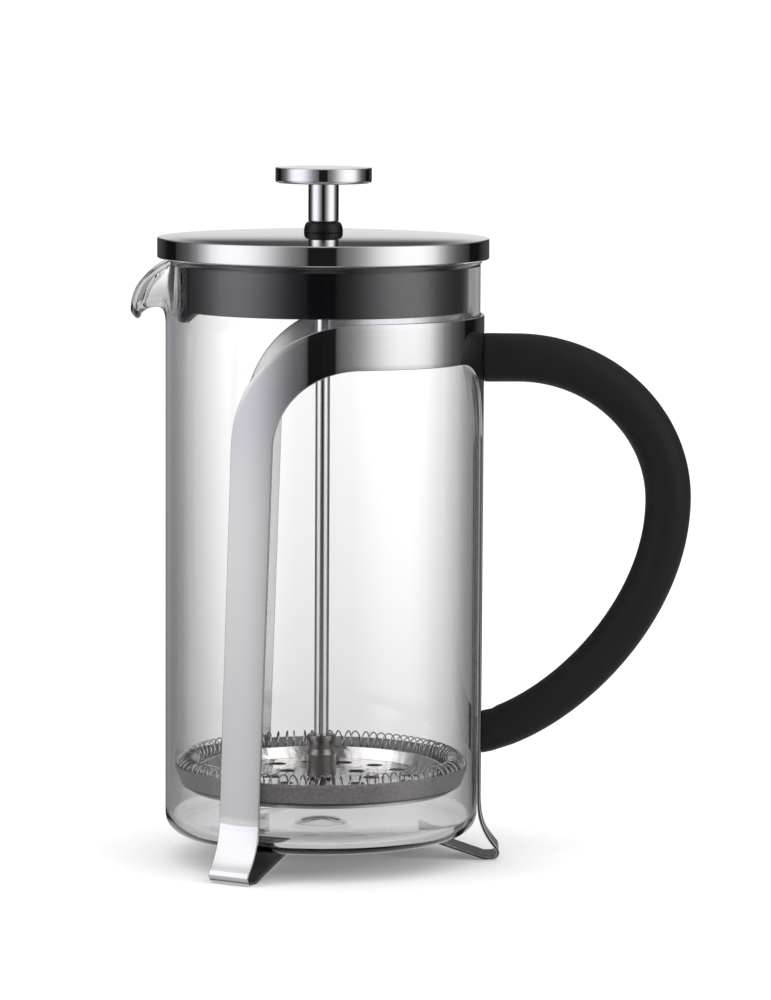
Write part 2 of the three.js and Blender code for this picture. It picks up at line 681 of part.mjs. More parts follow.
const press = new THREE.Group();
press.add(
  piece('frame_stand', stand(), POLISHED()),
  piece('handle_grip', handleGrip(), SOFT_BLACK()),
  ...handleFasteners(),
  piece('glass_beaker', beaker(), CLEAR_GLASS()),
  piece('lid_cover', lidCover(), POLISHED()),
  piece('lid_collar', lidCollar(), GLOSS_BLACK()),
  piece('lid_bush', lidBush(), SATIN_STEEL()),
  piece('bush_retainer', bushRetainer(), SATIN_STEEL()),
  piece('plunger_rod', plungerRod(), POLISHED()),
  piece('rod_hub', rodHub(), SATIN_STEEL()),
  piece('spring_plate', springPlate(), SATIN_STEEL()),
  piece('spring_coil', springCoil(), SATIN_STEEL()),
  piece('filter_mesh', filterMesh(), WOVEN_STEEL()),
  piece('cross_plate', crossPlate(), SATIN_STEEL()),
  piece('hub_nut', hubNut(), SATIN_STEEL()),
  piece('bumper_ring', bumperRing(), RUBBER_BLACK()),
  piece('knob_stem', knobStem(), POLISHED()),
  piece('knob_disc', knobDisc(), POLISHED()),
);

const footprint = new THREE.Box3().setFromObject(press, true);
press.position.x = -(footprint.min.x + footprint.max.x) / 2;

export default press;
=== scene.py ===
# French press: a glass beaker in a polished strip stand, with a lid and a plunger.
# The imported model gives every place; shapes are drawn in millimetres from the beaker's axis.

import math
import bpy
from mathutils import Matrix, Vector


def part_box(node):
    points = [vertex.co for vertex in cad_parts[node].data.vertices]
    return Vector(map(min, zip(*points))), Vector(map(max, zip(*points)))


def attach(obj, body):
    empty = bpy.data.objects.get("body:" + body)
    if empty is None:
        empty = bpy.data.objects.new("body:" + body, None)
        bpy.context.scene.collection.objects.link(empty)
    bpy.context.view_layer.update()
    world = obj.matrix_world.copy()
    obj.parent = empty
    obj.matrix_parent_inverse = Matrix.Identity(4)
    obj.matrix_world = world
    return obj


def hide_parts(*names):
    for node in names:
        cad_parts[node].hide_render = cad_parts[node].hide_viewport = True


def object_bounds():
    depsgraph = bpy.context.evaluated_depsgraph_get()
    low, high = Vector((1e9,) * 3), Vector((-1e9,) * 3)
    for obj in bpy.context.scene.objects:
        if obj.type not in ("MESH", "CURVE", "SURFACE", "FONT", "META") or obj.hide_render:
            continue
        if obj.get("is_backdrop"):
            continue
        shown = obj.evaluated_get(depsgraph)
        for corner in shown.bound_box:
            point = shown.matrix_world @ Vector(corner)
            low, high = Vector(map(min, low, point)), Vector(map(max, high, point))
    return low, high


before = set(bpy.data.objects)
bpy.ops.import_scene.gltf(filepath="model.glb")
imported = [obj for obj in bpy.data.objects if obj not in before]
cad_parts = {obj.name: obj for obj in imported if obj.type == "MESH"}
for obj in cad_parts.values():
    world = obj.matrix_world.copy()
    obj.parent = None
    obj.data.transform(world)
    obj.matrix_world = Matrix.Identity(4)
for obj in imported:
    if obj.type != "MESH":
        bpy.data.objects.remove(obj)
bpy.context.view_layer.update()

import types

import bmesh
import bpy
from mathutils import Matrix, Vector

MM = 0.001

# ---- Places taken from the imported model, in millimetres ---------------------


class Span:
    """A node's lowest and highest corner in millimetres, with X counted from an axis."""

    def __init__(self, node, axis=0.0):
        low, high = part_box(node)
        self.low = Vector((low.x / MM - axis, low.y / MM, low.z / MM))
        self.high = Vector((high.x / MM - axis, high.y / MM, high.z / MM))
        self.r = (self.high.y - self.low.y) / 2
        self.bottom = self.low.z
        self.top = self.high.z
        self.height = self.top - self.bottom


ROD = Span("plunger_rod")
AXIS = (ROD.low.x + ROD.high.x) / 2

GLASS = Span("glass_beaker")
STAND = Span("frame_stand")
SCREWS = {end: Span("handle_screw_" + end, AXIS) for end in ("upper", "lower")}
COVER = Span("lid_cover")
COLLAR = Span("lid_collar")
BUSH = Span("lid_bush")
RETAINER = Span("bush_retainer")
HUB = Span("rod_hub")
SPRING_PLATE = Span("spring_plate")
COIL = Span("spring_coil")
GAUZE = Span("filter_mesh")
CROSS = Span("cross_plate")
NUT = Span("hub_nut")
BUMPER = Span("bumper_ring")
STEM = Span("knob_stem")
KNOB = Span("knob_disc")

# Fits that several pieces share.
FIT = 0.3
BUSH_NECK = BUSH.r - 1.5
BUSH_HOLE = BUSH_NECK + FIT
LID_BORE = ROD.r + FIT
ROD_BORE = ROD.r + 0.1

# ---- Mesh helpers -----------------------------------------------------------

# The most of a side that one rounding takes, and the support span beside it.
SIDE_SHARE, SUPPORT = 0.47, 0.15
# A point nearer to the axis than this is on it.
ON_AXIS = 1e-6


def clamped(value):
    """A value kept from 0 to 1."""
    return min(max(value, 0), 1)


def eased(share):
    """A share from 0 to 1 that starts and ends gently."""
    return share * share * (3 - 2 * share)


def arc(centre_r, centre_z, radius, start, end, steps):
    """Points of a circular arc; angles in degrees."""
    points = []
    for i in range(steps + 1):
        angle = math.radians(start + (end - start) * i / steps)
        points.append((centre_r + radius * math.cos(angle), centre_z + radius * math.sin(angle)))
    return points


def softened(corners, steps=5, closed=False):
    """An outline from (r, z) or (r, z, rounding) corners, with support spans beside each arc."""
    fine = []
    count = len(corners)
    for i, corner in enumerate(corners):
        here = Vector(corner[:2])
        rounding = corner[2] if len(corner) > 2 else 0
        if not rounding or (not closed and i in (0, count - 1)):
            fine.append(tuple(here))
            continue
        back = Vector(corners[i - 1][:2]) - here
        on = Vector(corners[(i + 1) % count][:2]) - here
        a, b = back.normalized(), on.normalized()
        half = math.acos(max(-1, min(1, a.dot(b)))) / 2
        reach = min(rounding / math.tan(half), back.length * SIDE_SHARE,
                    on.length * SIDE_SHARE)
        radius = reach * math.tan(half)
        centre = here + (a + b).normalized() * radius / math.sin(half)
        start, end = here + a * reach - centre, here + b * reach - centre
        turn = math.atan2(start.x * end.y - start.y * end.x, start.dot(end))
        support = min(SUPPORT, reach * 0.5)
        if back.length > reach + 3 * support:
            fine.append(tuple(here + a * (reach + support)))
        for k in range(steps + 1):
            angle = turn * k / steps
            cos, sin = math.cos(angle), math.sin(angle)
            spoke = Vector((start.x * cos - start.y * sin, start.x * sin + start.y * cos))
            fine.append(tuple(centre + spoke))
        if on.length > reach + 3 * support:
            fine.append(tuple(here + b * (reach + support)))
    return fine


def turned(outline, columns, closed=False):
    """An outline, taken upwards on the outside, turned round the axis. r = 0 closes on a pole."""
    points, rings, faces = [], [], []
    for r, z in outline:
        first = len(points)
        if r < ON_AXIS:
            points.append(Vector((0, 0, z)))
            rings.append([first] * columns)
            continue
        for i in range(columns):
            angle = 2 * math.pi * i / columns
            points.append(Vector((r * math.cos(angle), r * math.sin(angle), z)))
        rings.append(list(range(first, first + columns)))
    if closed:
        rings.append(rings[0])
    for low, high in zip(rings, rings[1:]):
        for i in range(columns):
            j = (i + 1) % columns
            face = list(dict.fromkeys((low[i], low[j], high[j], high[i])))
            if len(face) > 2:
                faces.append(face)
    return points, faces


def swept(rings):
    """Rings of points joined into a tube, each end closed by a fan."""
    points = [point for ring in rings for point in ring]
    count = len(rings[0])
    last = (len(rings) - 1) * count
    faces = []
    for first in range(0, last, count):
        for i in range(count):
            j = (i + 1) % count
            faces.append([first + i, first + j, first + count + j, first + count + i])
    for ring, start in ((rings[0], 0), (rings[-1], last)):
        points.append(sum(ring, Vector()) / count)
        for i in range(count):
            fan = [start + i, len(points) - 1, start + (i + 1) % count]
            faces.append(fan if start == 0 else fan[::-1])
    return points, faces


def linked(name, data):
    """A new object, linked into the scene."""
    item = bpy.data.objects.new(name, data)
    bpy.context.scene.collection.objects.link(item)
    return item


def placed_mesh(name, points, faces):
    """A mesh in its place, in metres, from points in millimetres from the axis."""
    mesh = bpy.data.meshes.new(name)
    mesh.from_pydata([((p[0] + AXIS) * MM, p[1] * MM, p[2] * MM) for p in points], [], faces)
    return mesh


def bare_object(name, shape):
    """An object of a shape's points and faces, with its doubles merged and its faces outwards."""
    mesh = placed_mesh(name, *shape)
    work = bmesh.new()
    work.from_mesh(mesh)
    bmesh.ops.remove_doubles(work, verts=work.verts, dist=1e-7)
    bmesh.ops.recalc_face_normals(work, faces=work.faces)
    work.to_mesh(mesh)
    work.free()
    return linked(name, mesh)


def turned_object(name, corners, columns, steps=5, ring=False):
    """A turned piece with softened corners; a ring's outline closes on itself."""
    return bare_object(name, turned(softened(corners, steps, ring), columns, ring))


def modify(item, name, kind, **settings):
    """Adds a modifier with its settings."""
    step = item.modifiers.new(name, kind)
    for setting, value in settings.items():
        setattr(step, setting, value)
    return step


def settle(item):
    """Applies every modifier and leaves one plain mesh."""
    bpy.context.view_layer.update()
    shape = item.evaluated_get(bpy.context.evaluated_depsgraph_get())
    mesh = bpy.data.meshes.new_from_object(shape)
    item.modifiers.clear()
    old = item.data
    item.data = mesh
    bpy.data.meshes.remove(old)
    return item


def cut_with(item, cutter):
    """Takes the cutter's volume away."""
    modify(item, "Cut", "BOOLEAN", operation="DIFFERENCE", solver="EXACT", object=cutter)
    settle(item)
    bpy.data.objects.remove(cutter)


def merged(first, second):
    """Joins the second object's mesh into the first one."""
    work = bmesh.new()
    for item in (first, second):
        work.from_mesh(item.data)
    bmesh.ops.remove_doubles(work, verts=work.verts, dist=1e-6)
    work.to_mesh(first.data)
    work.free()
    bpy.data.objects.remove(second)


def smooth(mesh):
    """Shades every face smooth."""
    mesh.polygons.foreach_set("use_smooth", [True] * len(mesh.polygons))


def present(item, material, body, node, sharp=38):
    """Shades a piece, gives it its finish and lets it ride on its body in place of its node."""
    mesh = item.data
    mesh.materials.clear()
    mesh.materials.append(material)
    smooth(mesh)
    if sharp:
        mesh.set_sharp_from_angle(angle=math.radians(sharp))
    mesh.update()
    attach(item, body)
    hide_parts(node)


# ---- Node helpers -----------------------------------------------------------


class Wire:
    """A node's output that takes part in ordinary arithmetic."""

    def __init__(self, maker, socket):
        self.maker = maker
        self.socket = socket

    def __add__(self, other):
        return self.maker.number("ADD", self, other)

    def __radd__(self, other):
        return self.maker.number("ADD", other, self)

    def __sub__(self, other):
        return self.maker.number("SUBTRACT", self, other)

    def __rsub__(self, other):
        return self.maker.number("SUBTRACT", other, self)

    def __mul__(self, other):
        return self.maker.number("MULTIPLY", self, other)

    def __rmul__(self, other):
        return self.maker.number("MULTIPLY", other, self)

    def __truediv__(self, other):
        return self.maker.number("DIVIDE", self, other)

    def __pow__(self, other):
        return self.maker.number("POWER", self, other)

    def __gt__(self, other):
        return self.maker.number("GREATER_THAN", self, other)

    def __lt__(self, other):
        return self.maker.number("LESS_THAN", self, other)

    def __abs__(self):
        return self.maker.number("ABSOLUTE", self)

    def frac(self):
        return self.maker.number("FRACT", self)

    def floor(self):
        return self.maker.number("FLOOR", self)

    def sine(self):
        return self.maker.number("SINE", self)

    def cosine(self):
        return self.maker.number("COSINE", self)

    def larger(self, other):
        return self.maker.number("MAXIMUM", self, other)


class Maker:
    """Adds nodes to one tree, a shader's, a world's or a geometry tree."""

    def __init__(self, tree):
        self.tree = tree
        tree.nodes.clear()

    def node(self, kind, settings=None, *values, out=0, **sockets):
        """Adds a node: its settings first, then its sockets by order or by name.

        A name's underscores stand for spaces, and None leaves a socket as it is.
        """
        node = self.tree.nodes.new(kind)
        settings = dict(settings or {})
        stops = settings.pop("stops", ())
        for name, value in settings.items():
            setattr(node, name, value)
        if stops:
            marks = node.color_ramp.elements
            while len(marks) > 1:
                marks.remove(marks[-1])
            for i, (place, tone) in enumerate(stops):
                mark = marks.new(place) if i else marks[0]
                mark.position = place
                mark.color = (tone, tone, tone, 1)
        for socket, value in zip(node.inputs, values):
            self.feed(socket, value)
        for name, value in sockets.items():
            self.feed(node.inputs[name.replace("_", " ")], value)
        return Wire(self, node.outputs[out]) if node.outputs else None

    def feed(self, socket, value):
        """Links a socket, or sets its value."""
        if isinstance(value, Wire):
            self.tree.links.new(value.socket, socket)
        elif value is not None:
            socket.default_value = (*value, 1) if socket.type == "RGBA" else value

    def number(self, operation, *values):
        return self.node("ShaderNodeMath", {"operation": operation}, *values)

    def mixed(self, share, first, second):
        """A colour between two colours."""
        unused = [None] * 5
        return self.node("ShaderNodeMix", {"data_type": "RGBA"}, share, *unused, first, second,
                         out=2)

    def vector(self, x, y, z):
        return self.node("ShaderNodeCombineXYZ", None, x, y, z)

    def parts(self, vector):
        """The three numbers of a vector."""
        first = self.node("ShaderNodeSeparateXYZ", None, vector)
        return [Wire(self, output) for output in first.socket.node.outputs]

    def coords(self, kind="Object"):
        return self.node("ShaderNodeTexCoord", out=kind)

    def placed(self, vector, location=None, scale=None):
        return self.node("ShaderNodeMapping", None, vector, location, None, scale)

    def centred(self):
        """Object coordinates counted from the axis."""
        return self.placed(self.coords(), location=(-AXIS * MM, 0, 0))

    def attribute(self, name):
        """A number kept on the mesh."""
        return self.node("ShaderNodeAttribute", {"attribute_name": name}, out=2)

    def noise(self, place, scale, detail=2.0, roughness=0.5, distortion=0.0):
        return self.node("ShaderNodeTexNoise", None, Vector=place, Scale=scale, Detail=detail,
                         Roughness=roughness, Distortion=distortion)

    def bump(self, height, strength, distance):
        return self.node("ShaderNodeBump", None, Height=height, Strength=strength,
                         Distance=distance)


def coated(name, recipe, **constants):
    """A material whose shader takes constants and what a recipe gives for the rest."""
    made = bpy.data.materials.new(name)
    made.use_nodes = True
    maker = Maker(made.node_tree)
    shader = maker.node("ShaderNodeBsdfPrincipled", None, **constants, **recipe(maker))
    maker.node("ShaderNodeOutputMaterial", None, shader)
    return made


def growing(name, **inputs):
    """A new geometry tree with named inputs: its maker, and its inputs as wires."""
    tree = bpy.data.node_groups.new(name, "GeometryNodeTree")
    maker = Maker(tree)
    for entry, kind in (("Geometry", "Geometry"), *inputs.items()):
        tree.interface.new_socket(entry.replace("_", " "), in_out="INPUT",
                                  socket_type="NodeSocket" + kind)
    tree.interface.new_socket("Geometry", in_out="OUTPUT", socket_type="NodeSocketGeometry")
    given = maker.node("NodeGroupInput").socket.node.outputs
    return maker, types.SimpleNamespace(**{
        output.name.replace(" ", "_"): Wire(maker, output) for output in given if output.name})


def whole_tree(maker, shape, finish):
    """Closes a geometry tree: instances made real, and the finish set."""
    real = maker.node("GeometryNodeRealizeInstances", None, shape)
    coat = maker.node("GeometryNodeSetMaterial", None, real, Material=finish)
    maker.node("NodeGroupOutput", None, coat)
    return maker.tree


def grown(item, tree, **values):
    """Runs a geometry tree on an object with its named inputs, and leaves a plain mesh."""
    step = modify(item, "Grown", "NODES", node_group=tree)
    names = {entry.name: entry.identifier for entry in tree.interface.items_tree
             if entry.in_out == "INPUT"}
    for name, value in values.items():
        step[names[name.replace("_", " ")]] = value
    return settle(item)


def grown_alone(name, tree, **values):
    """A piece that is all grown by a geometry tree."""
    return grown(linked(name, bpy.data.meshes.new(name)), tree, **values)


# ---- Finishes ---------------------------------------------------------------


def polish(maker, place, least):
    """Polished steel's faint clouds and buffing lines, and its roughness with fine marks."""
    cloud = maker.noise(place, scale=28.0, detail=3.0)
    lines = maker.noise(maker.placed(place, scale=(1, 1, 22)), scale=160.0, detail=3.0,
                        roughness=0.6)
    marks = maker.noise(place, scale=900.0)
    return cloud, lines, least + 0.035 * cloud + 0.015 * marks


def polished_steel(maker):
    """Mirror-polished steel: faint cloudiness, buffing lines and a few wipe marks."""
    cloud, lines, rough = polish(maker, maker.centred(), 0.012)
    return dict(Base_Color=maker.mixed(cloud, (0.655, 0.65, 0.665), (0.7, 0.695, 0.7)),
                Roughness=rough,
                Normal=maker.bump(lines, 0.05, 0.00004))


def strip_steel(maker):
    """The stand's steel: polished outside, satin against the glass, rougher on the feet's tongues
    under the beaker, where a dark base colour is painted shade.
    """
    place = maker.centred()
    x, y, z = maker.parts(place)
    reach = (x * x + y * y) ** 0.5
    satin = (reach < STRIP_R * MM) * (z > (FLARE_TOP + SATIN_ABOVE_FLARE) * MM)
    tongue = maker.attribute("tongue")
    cloud, lines, rough = polish(maker, place, 0.015)
    bright = maker.mixed(cloud, (0.65, 0.645, 0.66), (0.695, 0.69, 0.695))
    # The tongues' dark base colour is painted shade under the beaker; their added roughness is
    # real.
    return dict(Base_Color=maker.mixed(tongue, bright, (0.16, 0.155, 0.15)),
                Roughness=rough + satin * (0.14 + 0.08 * lines) + 0.2 * tongue,
                Normal=maker.bump(lines, 0.05, 0.00004))


def pressed_steel(maker):
    """Bright pressed sheet with the soft waves that pressing leaves."""
    place = maker.coords()
    waves = maker.noise(place, scale=170.0, distortion=0.6)
    cloud = maker.noise(place, scale=60.0, detail=3.0)
    return dict(Base_Color=maker.mixed(cloud, (0.62, 0.605, 0.595), (0.8, 0.79, 0.78)),
                Roughness=0.06 + 0.1 * cloud,
                Normal=maker.bump(waves, 0.35, 0.0007))


def brushed(tone, rough):
    """The recipe of plain steel with fine turning marks round the axis."""
    dark = tuple(value * 0.72 for value in tone)

    def recipe(maker):
        place = maker.centred()
        x, y, z = maker.parts(place)
        reach = (x * x + y * y) ** 0.5
        rings = maker.noise(maker.vector(reach, z, 0.0), scale=2600.0)
        cloud = maker.noise(place, scale=120.0, detail=3.0)
        return dict(Base_Color=maker.mixed(cloud, dark, tone),
                    Roughness=rough + 0.12 * rings + 0.08 * cloud,
                    Normal=maker.bump(rings, 0.25, 0.00006))

    return recipe


def drawn_wire(maker):
    """Bright drawn spring wire, a little darker in patches."""
    place = maker.coords()
    cloud = maker.noise(place, scale=240.0, detail=3.0)
    return dict(Base_Color=maker.mixed(cloud, (0.42, 0.41, 0.4), (0.64, 0.63, 0.62)),
                Roughness=0.03 + 0.08 * cloud,
                Normal=maker.bump(maker.noise(place, scale=2400.0), 0.1, 0.00003))


def woven_steel(maker):
    """Fine woven gauze: round wires over and under, with a near-black band along its lower outer
    edge that is painted shade, and a paler, less metallic inner face that is painted light for the
    inside of the dish.
    """
    u, v, _ = maker.parts(maker.coords("UV"))
    across, along = abs(u.frac() - 0.5), abs(v.frac() - 0.5)
    wire = 0.27
    on_u, on_v = across < wire, along < wire
    parity = ((u.floor() + v.floor()) * 0.5).frac() * 2
    round_u = (1 - across / wire).larger(0) ** 0.5
    round_v = (1 - along / wire).larger(0) ** 0.5
    over = round_u * (0.6 + 0.8 * parity)
    under = round_v * (1.4 - 0.8 * parity)
    place = maker.coords()
    stain = maker.noise(place, scale=90.0, detail=4.0)
    speckle = maker.noise(place, scale=1300.0)
    worn = maker.node("ShaderNodeMapRange", None, speckle, 0.35, 0.65, 0.0, 1.0)
    bright = maker.mixed(stain, (0.3, 0.288, 0.28), (0.5, 0.485, 0.475))
    dull = maker.mixed(stain, (0.2, 0.19, 0.184), (0.34, 0.328, 0.32))
    inside = maker.attribute("inside")
    _, _, z = maker.parts(place)
    # A near-black band along the lower outer edge, where the gauze sits on the cross plate:
    # painted shade.
    painted_bottom_shade = (z < (GAUZE.bottom + 0.9) * MM) * (1 - inside)
    # The inner face's paler tone, with the lower Metallic below, is painted light for the inside
    # of the dish.
    wall = maker.mixed(inside, maker.mixed(worn, dull, bright), (0.36, 0.35, 0.34))
    return dict(Base_Color=maker.mixed(painted_bottom_shade, wall, (0.045, 0.042, 0.04)),
                Metallic=0.6 - 0.42 * inside,
                Roughness=0.26 + 0.2 * stain,
                Alpha=on_u.larger(on_v),
                Normal=maker.bump(over.larger(under), 0.8, 0.00012))


def clear_glass(maker):
    """Heat-proof glass with the slight waviness of a drawn tube."""
    wave = maker.noise(maker.placed(maker.coords(), scale=(1, 1, 0.25)), scale=38.0, detail=1.0)
    return dict(Normal=maker.bump(wave, 0.12, 0.0004))


def gloss_black(maker):
    """Glossy black moulding with a faint orange peel."""
    place = maker.coords()
    peel = maker.noise(place, scale=420.0)
    cloud = maker.noise(place, scale=60.0, detail=3.0)
    return dict(Base_Color=maker.mixed(cloud, (0.0035, 0.0035, 0.0045), (0.007, 0.0065, 0.0085)),
                Roughness=0.09 + 0.08 * cloud,
                Normal=maker.bump(peel, 0.08, 0.0001))


def soft_black(maker):
    """Soft-touch black moulding: fine spark texture and slightly polished high spots."""
    place = maker.coords()
    grain = maker.noise(place, scale=3600.0, roughness=0.7)
    cells = maker.node("ShaderNodeTexVoronoi", {"feature": "F1"}, Vector=place, Scale=2200.0)
    worn = maker.noise(place, scale=45.0, detail=3.0)
    return dict(Base_Color=maker.mixed(worn, (0.0045, 0.0045, 0.0048), (0.0075, 0.0075, 0.0078)),
                Roughness=0.5 + 0.16 * worn + 0.06 * grain,
                Normal=maker.bump(grain * 0.6 + cells * 0.4, 0.32, 0.00009))


def black_rubber(maker):
    """Moulded rubber with a dull skin."""
    place = maker.coords()
    skin = maker.noise(place, scale=1500.0, detail=3.0, roughness=0.6)
    dust = maker.noise(place, scale=240.0, detail=3.0)
    return dict(Base_Color=maker.mixed(dust, (0.004, 0.004, 0.004), (0.009, 0.009, 0.0088)),
                Roughness=0.2 + 0.16 * dust,
                Normal=maker.bump(skin, 0.25, 0.00008))


def knurled_brass(maker):
    """Brass with a crossed knurl along X."""
    place = maker.coords()
    x, y, _ = maker.parts(place)
    pitch = 5200.0
    first, second = ((x + y) * pitch).sine(), ((x - y) * pitch).sine()
    cloud = maker.noise(place, scale=300.0, detail=3.0)
    return dict(Base_Color=maker.mixed(cloud, (0.5, 0.36, 0.14), (0.68, 0.52, 0.24)),
                Roughness=0.28 + 0.2 * cloud,
                Normal=maker.bump(first.larger(second), 0.5, 0.0001))


def floor_paper(maker):
    """Matt white paper with a faint fibre."""
    fibre = maker.noise(maker.coords(), scale=300.0)
    return dict(Base_Color=maker.mixed(fibre, (0.9, 0.9, 0.9), (0.92, 0.92, 0.92)))


POLISHED = coated("polished_steel", polished_steel, Metallic=1.0)
PRESSED = coated("pressed_steel", pressed_steel, Metallic=1.0)
SATIN = coated("satin_steel", brushed((0.5, 0.48, 0.47), 0.24), Metallic=1.0)
DARK_STEEL = coated("hub_steel", brushed((0.3, 0.28, 0.27), 0.2), Metallic=1.0)
SPRING_WIRE = coated("spring_wire", drawn_wire, Metallic=1.0)
GAUZE_WIRE = coated("woven_steel", woven_steel)
GLASS_CLEAR = coated("clear_glass", clear_glass, Base_Color=(0.985, 0.981, 0.98),
                     Transmission_Weight=1.0, Roughness=0.0, IOR=1.47)
# The lilac Specular Tint on the black gloss is a painted reflection colour, standing in for the
# cool light mirrored from the left.
BLACK_GLOSS = coated("gloss_black", gloss_black, IOR=1.5, Specular_IOR_Level=0.27,
                     Specular_Tint=(0.9, 0.86, 1.0))
BLACK_SOFT = coated("soft_black", soft_black, IOR=1.42, Specular_IOR_Level=0.38,
                    Sheen_Weight=0.03, Sheen_Roughness=0.4)
RUBBER = coated("black_rubber", black_rubber, IOR=1.5, Specular_IOR_Level=0.25)
BRASS = coated("brass", knurled_brass, Metallic=1.0)
PAPER = coated("floor_paper", floor_paper, Roughness=1.0, Specular_IOR_Level=0.0)

# ---- Beaker -----------------------------------------------------------------

RIM_BEAD, BEAD_DEPTH = 0.6, 1.4
WALL = 2.3
BEAKER_R = GLASS.r - RIM_BEAD
BEAKER_IN = BEAKER_R - WALL
BEAKER_MID = BEAKER_R - WALL / 2
BASE, BASE_CORNER = 2.8, 6.0
PUNT_R, PUNT_DEPTH, FLOOR_RISE, RISE_R = 7.4, 1.7, 1.2, 10
SPOUT_OUT, SPOUT_DROP, SPOUT_DEPTH, SPOUT_WIDTH = 11.7, 17.7, 21.2, 31.0
SPOUT_THROAT = 2.2
LIP_SWELL, LIP_DEPTH, LIP_FULL = 0.55, 4.5, 1.5
SPOUT_ROWS = (0, 0.06, 0.12, 0.18, 0.24, 0.3, 0.36, 0.42, 0.48, 0.54, 0.6, 0.66, 0.71, 0.76,
              0.8, 0.84, 0.87, 0.9)
# How much the columns crowd towards the spout.
CROWDING = 0.45


def spout_pull(bearing):
    """How far the wall is drawn out at a bearing: 1 in the middle of the spout, 0 beside it."""
    half_angle = SPOUT_WIDTH / 2 / BEAKER_MID
    return math.cos(min(abs(bearing) / half_angle, 1) * math.pi / 2) ** 2


def wall_point(bearing, height):
    """The wall's middle surface: a cylinder, drawn out and down into the spout."""
    pull = spout_pull(bearing)
    rise = min(max((height - GLASS.top) / SPOUT_DEPTH + 1, 0), 1.02)
    r = BEAKER_MID + SPOUT_OUT * (1 - (1 - pull) ** 3) * rise ** SPOUT_THROAT
    drop = SPOUT_DROP * pull * rise ** 2
    return Vector((-r * math.cos(bearing), -r * math.sin(bearing), height - drop))


def beaker_outline():
    """The beaker's section: dimple, base, outer wall, rim, inner wall and risen floor."""
    seat, rim = GLASS.bottom, GLASS.top
    floor = seat + BASE
    bead = rim - BEAD_DEPTH
    inner_corner = BASE_CORNER - WALL
    rows = [rim - SPOUT_DEPTH * (1 - share) for share in SPOUT_ROWS]
    outline = [(PUNT_R * k / 10, seat + PUNT_DEPTH * math.cos(math.pi / 20 * k) ** 2)
               for k in range(11)]
    outline.append((PUNT_R + 1, seat))
    outline += arc(BEAKER_R - BASE_CORNER, seat + BASE_CORNER, BASE_CORNER, -90, 0, 12)
    outline += [(BEAKER_R, seat + BASE_CORNER + 1), (BEAKER_R, rows[0] - 1)]
    outline += [(BEAKER_R, z) for z in rows]
    outline += [(BEAKER_R + RIM_BEAD * 0.5, bead - 0.25), (BEAKER_R + RIM_BEAD, bead + 0.25),
                (BEAKER_R + RIM_BEAD, bead + 0.7), (BEAKER_R + RIM_BEAD * 0.6, rim - 0.3),
                (BEAKER_R - WALL * 0.15, rim - 0.06), (BEAKER_R - WALL * 0.4, rim),
                (BEAKER_R - WALL * 0.65, rim - 0.06), (BEAKER_IN + 0.25, rim - 0.35),
                (BEAKER_IN + 0.05, rim - 0.9), (BEAKER_IN, bead)]
    outline += [(BEAKER_IN, z) for z in reversed(rows)]
    outline += [(BEAKER_IN, rows[0] - 1), (BEAKER_IN, floor + inner_corner + 1)]
    outline += arc(BEAKER_IN - inner_corner, floor + inner_corner, inner_corner, 0, -90, 10)
    outline += [(BEAKER_IN - inner_corner - 1, floor), (RISE_R + 2, floor)]
    outline += [(RISE_R * (1 - k / 8), floor + FLOOR_RISE * math.sin(math.pi / 16 * k) ** 2)
                for k in range(9)]
    return outline


def glass_beaker():
    """The section turned, then carried out from the wall's middle surface, thicker at the lip."""
    points, faces = turned(beaker_outline(), 160)
    step = 0.001
    for point in points:
        r = math.hypot(point.x, point.y)
        if r < ON_AXIS:
            continue
        even = math.atan2(-point.y, -point.x)
        bearing = even - CROWDING * math.sin(even)
        here = wall_point(bearing, point.z)
        along = wall_point(bearing + step, point.z) - here
        up = wall_point(bearing, point.z + step) - here
        near = clamped((point.z - GLASS.top + LIP_DEPTH) / (LIP_DEPTH - LIP_FULL))
        swell = 1 + LIP_SWELL * spout_pull(bearing) * eased(near)
        point.xyz = here + along.cross(up).normalized() * (r - BEAKER_MID) * swell
    return points, faces


glass = bare_object("beaker", glass_beaker())
present(glass, GLASS_CLEAR, "beaker", "glass_beaker")
glass.visible_shadow = False

# ---- Stand ------------------------------------------------------------------

STRIP, STRIP_WIDTH = 1.0, 13.8
STRIP_R = BEAKER_R + FIT + STRIP / 2
STRIP_OUT = STRIP_R + STRIP / 2
HALF = STRIP_WIDTH / 2
BAND_TOP = STAND.top
BAND_MID = BAND_TOP - HALF
BAND_LOW = BAND_TOP - STRIP_WIDTH
BAND_REACH, ARM_RUN, ARM_DROP, LEG_LEAN = 65.6, 33.2, 31.7, 3.9
ARCH_RUN, ARCH_DROP = 20.0, 26.0
FLARE_TOP, FLARE_PULL = 20.0, 5.5
FOOT_REACH, TOE_R, TOE_FLAT, FOOT_RETURN = 3.8, 2.0, 2.3, 20.5
TOE_START = math.radians(40)
SATIN_ABOVE_FLARE = 6
ROWS = 8
ARCH_STEPS, BAND_STEPS, ARM_STEPS, LEG_STEPS, HANDLE_LEG_STEPS = 12, 18, 24, 12, 14
FLARE_STEPS, TOE_STEPS, TONGUE_STEPS = 14, 11, 6


def bezier(a, b, c, d, steps):
    """Points and headings along a cubic curve, its start left out."""
    found = []
    for i in range(1, steps + 1):
        t = i / steps
        s = 1 - t
        point = a * s ** 3 + b * 3 * s * s * t + c * 3 * s * t * t + d * t ** 3
        heading = ((b - a) * s * s + (c - b) * 2 * s * t + (d - c) * t * t).normalized()
        found.append((point, heading))
    return found


